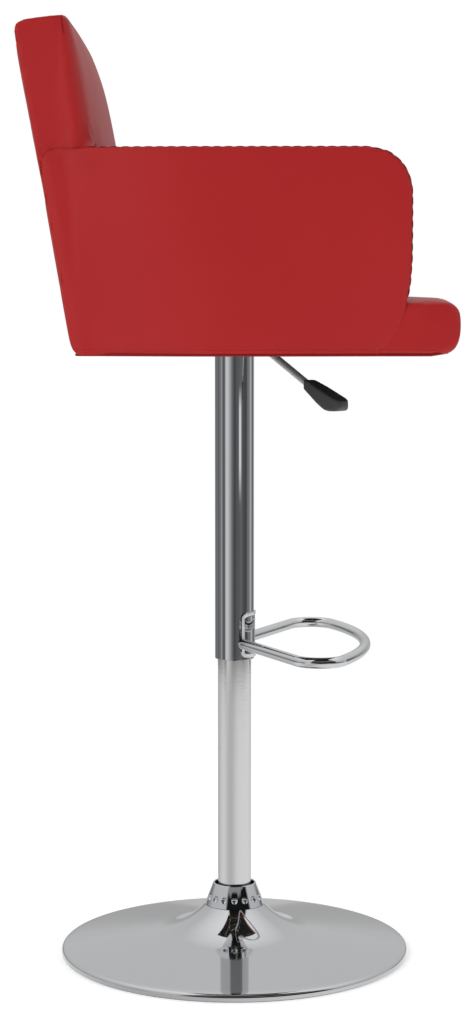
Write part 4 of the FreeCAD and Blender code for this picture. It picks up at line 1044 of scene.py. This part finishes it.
fold_up, ridge_up = 1.0, 5.5    # heights of the folded edge and of the ridge, in mm
for name, cover, line in (("shell", shell, hem_line), ("seat", seat, front_hem_line)):
    fold = [p for p, _ in on_cover(cover, line_between(line(under + fold_up), 6), 0.3)]
    for p in fold:    # level along the sides, and drawn up into the nose of the seat
        p.z = under + 0.6 + 2.6 * ease(206, 224, p.x)
    # The folded edge is in the darker vinyl, painted shade where the cover turns under.
    dress(bead(fold, 1.4), f"hem_edge_{name}", shaded_vinyl, "upholstery", "seat")
    ridge = line_between(line(under + ridge_up), 6)
    seam(cover, ridge, f"hem_ridge_{name}", -0.35, material=red_vinyl)

# %% [markdown]
# ## Lining
# A black spun-bonded cloth closes the frame from below, cut out round the column and stapled along
# its edge. A ring of points round the hole is extruded outward to the edge of the rectangle, and
# Solidify gives the sheet its thickness.

# %% Lining and staples
cloth_low, cloth_high = box_of("dust_cover")
hole, thin, half_y = 82.0, 0.5, cloth_high.y
clear()
bpy.ops.mesh.primitive_circle_add(vertices=96, radius=hole * MM,
                                  location=(0, 0, (cloth_high.z - 0.1) * MM))
lining = opened()
bpy.ops.mesh.extrude_edges_move()
mesh = bmesh.from_edit_mesh(lining.data)
edge_points = [v for v in mesh.verts if v.select]
for point in edge_points:
    x, y = point.co.x / MM, point.co.y / MM
    room_x = (cloth_high.x if x > 0 else -cloth_low.x) / max(abs(x), CLOSE)
    grow = min(room_x, half_y / max(abs(y), CLOSE))
    point.co.x, point.co.y = x * grow * MM, y * grow * MM
for corner in [Vector((x, y)) * MM for y in (half_y, -half_y) for x in (cloth_low.x, cloth_high.x)]:
    nearest = min(edge_points, key=lambda v: (v.co.xy - corner).length)
    nearest.co.x, nearest.co.y = corner
bmesh.update_edit_mesh(lining.data)
bpy.ops.mesh.select_all(action="SELECT")
bpy.ops.mesh.subdivide(number_cuts=5)
outward(lining)


def slack(x, y, z):
    edge = min(x - cloth_low.x, cloth_high.x - x, half_y - abs(y), hypot(x, y) - hole)
    ripple = 0.25 * noise.noise(Vector((x, y, 0)) / 38)
    return x, y, z - 0.9 * ease(0, 40, edge) - ripple * ease(0, 15, edge)


shaped(lining, slack)
apply_modifier(lining, "SOLIDIFY", thickness=thin * MM, offset=0)
dress(smooth(lining, 60), "frame_lining", lining_cloth, "lining", "seat", "dust_cover")

clear()
bpy.ops.mesh.primitive_cube_add(size=MM, scale=(9, 1.1, 0.5))
staple = opened()
bpy.ops.mesh.bevel(offset=0.15 * MM, segments=1)
clear()
inset, apart = 5, 36
places = [(x, side * (half_y - inset), 0) for x in
          range(int(cloth_low.x) + 15, int(cloth_high.x) - 10, apart) for side in (-1, 1)]
places += [(x, y, 90) for y in range(-162, 170, apart)
           for x in (cloth_low.x + inset, cloth_high.x - inset)]
staples = copied(staple, [
    Matrix.Translation(Vector((x, y, cloth_high.z - 0.55)) * MM) @ Matrix.Rotation(
        radians(turn + 4 * noise.noise(Vector((x, y, 3)) / 10)), 4, "Z")
    for x, y, turn in places])
dress(staples, "lining_staples", bright_steel, "bright_steel", "seat")

# %% [markdown]
# ## Finishes for the frame's own nodes
# What the frame already shapes well keeps its mesh and gets its finish in its material slots: the
# floor ring, the brace and ballast under the foot, the gas spring, the plate, the boards and all
# the bolts.

# %% Finishes by node
finishes = {
    foot_plastic: ["floor_ring"],
    cast_black: ["ballast_disc"],
    black_paint: ["base_brace", "pressure_tube", "valve_body", "lever_cup", "taper_socket",
                  "mounting_plate"],
    nylon: ["guide_bush", "sleeve_glide", "ball_cage", "rod_guide"],
    stop_rubber: ["bump_stop", "rod_seal", "piston_seal"],
    ply: ["seat_frame", "seat_board", "back_board", "arm_board_left", "arm_board_right"],
}
finish_of = {name: made for made, names in finishes.items() for name in names}
for name in sorted(set(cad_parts) - covered):
    for part_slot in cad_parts[name].material_slots:
        part_slot.material = finish_of.get(name, bright_steel)
print("nodes in bright steel:", sorted(set(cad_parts) - covered - set(finish_of)))

# %% [markdown]
# ## Floor and light
# The stool stands on a plain pale floor in a light room. Chrome shows only what surrounds it, so
# the room matters more than the lamps. Low down it has bright and dark strips, which the tubes
# squeeze into streaks. Higher up it is bright behind the stool, and dark on the viewer's side but
# for one grey band, which shows as a patch under the foot's neck. In the chrome the floor shows a
# painted light: it glows brighter or darker by direction, standing in for uneven light on paper.

# %% Floor
clear()
bpy.ops.mesh.primitive_circle_add(vertices=128, radius=2.1, fill_type="NGON")
floor = bpy.context.object
floor.name = "floor"
paper, tree, shader, place = blank("studio_floor_matt_white")
wire(tree, shader, {"Base Color": tone("F4F4F4"), "Roughness": 0.9, "Specular IOR Level": 0.1,
                    "Emission Color": tone("FFFFFF"), "Emission Strength": 0.35})
around = node(tree, "TexGradient", {"Vector": place}, gradient_type="RADIAL").outputs["Fac"]
# Painted light: seen only in the chrome, the floor glows by this ramp, brighter and darker by
# direction.
painted_floor_light = node(tree, "ValToRGB", {"Fac": around}, [
    (0, 0.92), (0.036, 0.93), (0.083, 0.84), (0.125, 0.72), (0.175, 0.66), (0.222, 0.73),
    (0.278, 0.89), (0.336, 0.97), (0.514, 1), (0.578, 0.95), (0.619, 0.81), (0.681, 0.72),
    (0.75, 0.60), (0.819, 0.58), (0.881, 0.64), (0.922, 0.76), (0.986, 0.90)])
painted_floor_glow = node(tree, "Emission", {"Color": painted_floor_light})
mirror = node(tree, "LightPath", {}).outputs["Is Glossy Ray"]
both = node(tree, "MixShader", {0: mirror, 1: shader, 2: painted_floor_glow})
wire(tree, tree.nodes["Material Output"], {"Surface": both})
floor.data.materials.append(paper)
print("floor is", round(floor.dimensions.x, 2), "m across")

# %% Room
room = bpy.data.worlds.new("room")
bpy.context.scene.world = room
room.use_nodes = True
tree = room.node_tree
tree.nodes.clear()
look = node(tree, "TexCoord", {}).outputs["Generated"]
level = node(tree, "SeparateXYZ", {"Vector": look}).outputs["Z"]
ring = node(tree, "TexGradient", {"Vector": look}, gradient_type="RADIAL").outputs["Fac"]
strips, narrow, viewer = [node(tree, "ValToRGB", {"Fac": ring}, stops) for stops in (
    [(0, 0.40), (0.017, 0.46), (0.036, 0.31), (0.057, 0.18), (0.076, 0.07), (0.094, 0.53),
     (0.112, 0.92), (0.147, 0.82), (0.181, 0.50), (0.213, 0.22), (0.240, 0.13), (0.258, 0.07),
     (0.272, 0.14), (0.330, 0.16), (0.361, 0.20), (0.400, 0.12), (0.455, 0.09), (0.493, 0.30),
     (0.517, 0.24), (0.542, 0.56), (0.570, 0.72), (0.603, 0.05), (0.643, 0.35), (0.700, 0.50),
     (0.785, 0.46), (0.820, 0.24), (0.875, 0.20), (0.912, 0.30), (0.942, 0.15), (0.970, 0.24)],
    [(0.318, 0), (0.328, 1), (0.356, 1), (0.368, 0)],
    [(0.145, 0), (0.165, 1), (0.42, 1), (0.445, 0)])]
overhead, lower, dark, share = [node(tree, "ValToRGB", {"Fac": level}, stops) for stops in (
    [(0, 0.50), (0.26, 0.72), (0.55, 0.78), (1, 1.2)], [(0.96, 1), (1, 0)],
    [(0.51, 0.012), (0.545, 0.36), (0.62, 0.36), (0.70, 0.012)], [(0, 0), (0.20, 1)])]
height = node(tree, "Math", {0: level, 1: 10.0, 2: 1.0}, operation="MULTIPLY_ADD")
tall = node(tree, "ValToRGB", {"Fac": height}, [(0.10, 0), (0.26, 1), (0.52, 1), (0.62, 0)])
streak = node(tree, "Math", {0: tall, 1: narrow}, operation="MULTIPLY")
window = node(tree, "Mix", {"Factor": streak, "A": strips, "B": (1, 1, 1, 1)}, data_type="RGBA")
shade = node(tree, "Math", {0: viewer, 1: lower}, operation="MULTIPLY")
hooded = node(tree, "Mix", {"Factor": shade, "A": overhead, "B": dark}, data_type="RGBA")
blend = node(tree, "Mix", {"Factor": share, "A": window.outputs["Result"],
                           "B": hooded.outputs["Result"]}, data_type="RGBA")
lit = node(tree, "Background", {"Color": blend.outputs["Result"]})
seen = node(tree, "Background", {"Color": (1, 1, 1, 1)})
eye = node(tree, "LightPath", {}).outputs["Is Camera Ray"]
both = node(tree, "MixShader", {0: eye, 1: lit, 2: seen})
node(tree, "OutputWorld", {"Surface": both})
print("room is lit")

# %% Lamps
def softbox(name, place, aim, size, watts):
    """A soft lamp that lights the cover and the floor but doesn't show in the chrome."""
    clear()
    bpy.ops.object.light_add(type="AREA", location=place)
    lamp = bpy.context.object
    lamp.name = name
    lamp.data.shape = "RECTANGLE"
    lamp.data.size, lamp.data.size_y = size
    lamp.data.energy = watts
    lamp.rotation_euler = (Vector(aim) - Vector(place)).to_track_quat("-Z", "Y").to_euler()
    lamp.visible_glossy = False


softbox("key", (-1.6, -2.6, 1.9), (0, 0, 0.8), (2.4, 2.4), 40)
softbox("fill", (2.2, -1.8, 1.2), (0, 0, 0.7), (2, 2.4), 20)
bpy.context.scene.view_settings.view_transform = "Standard"
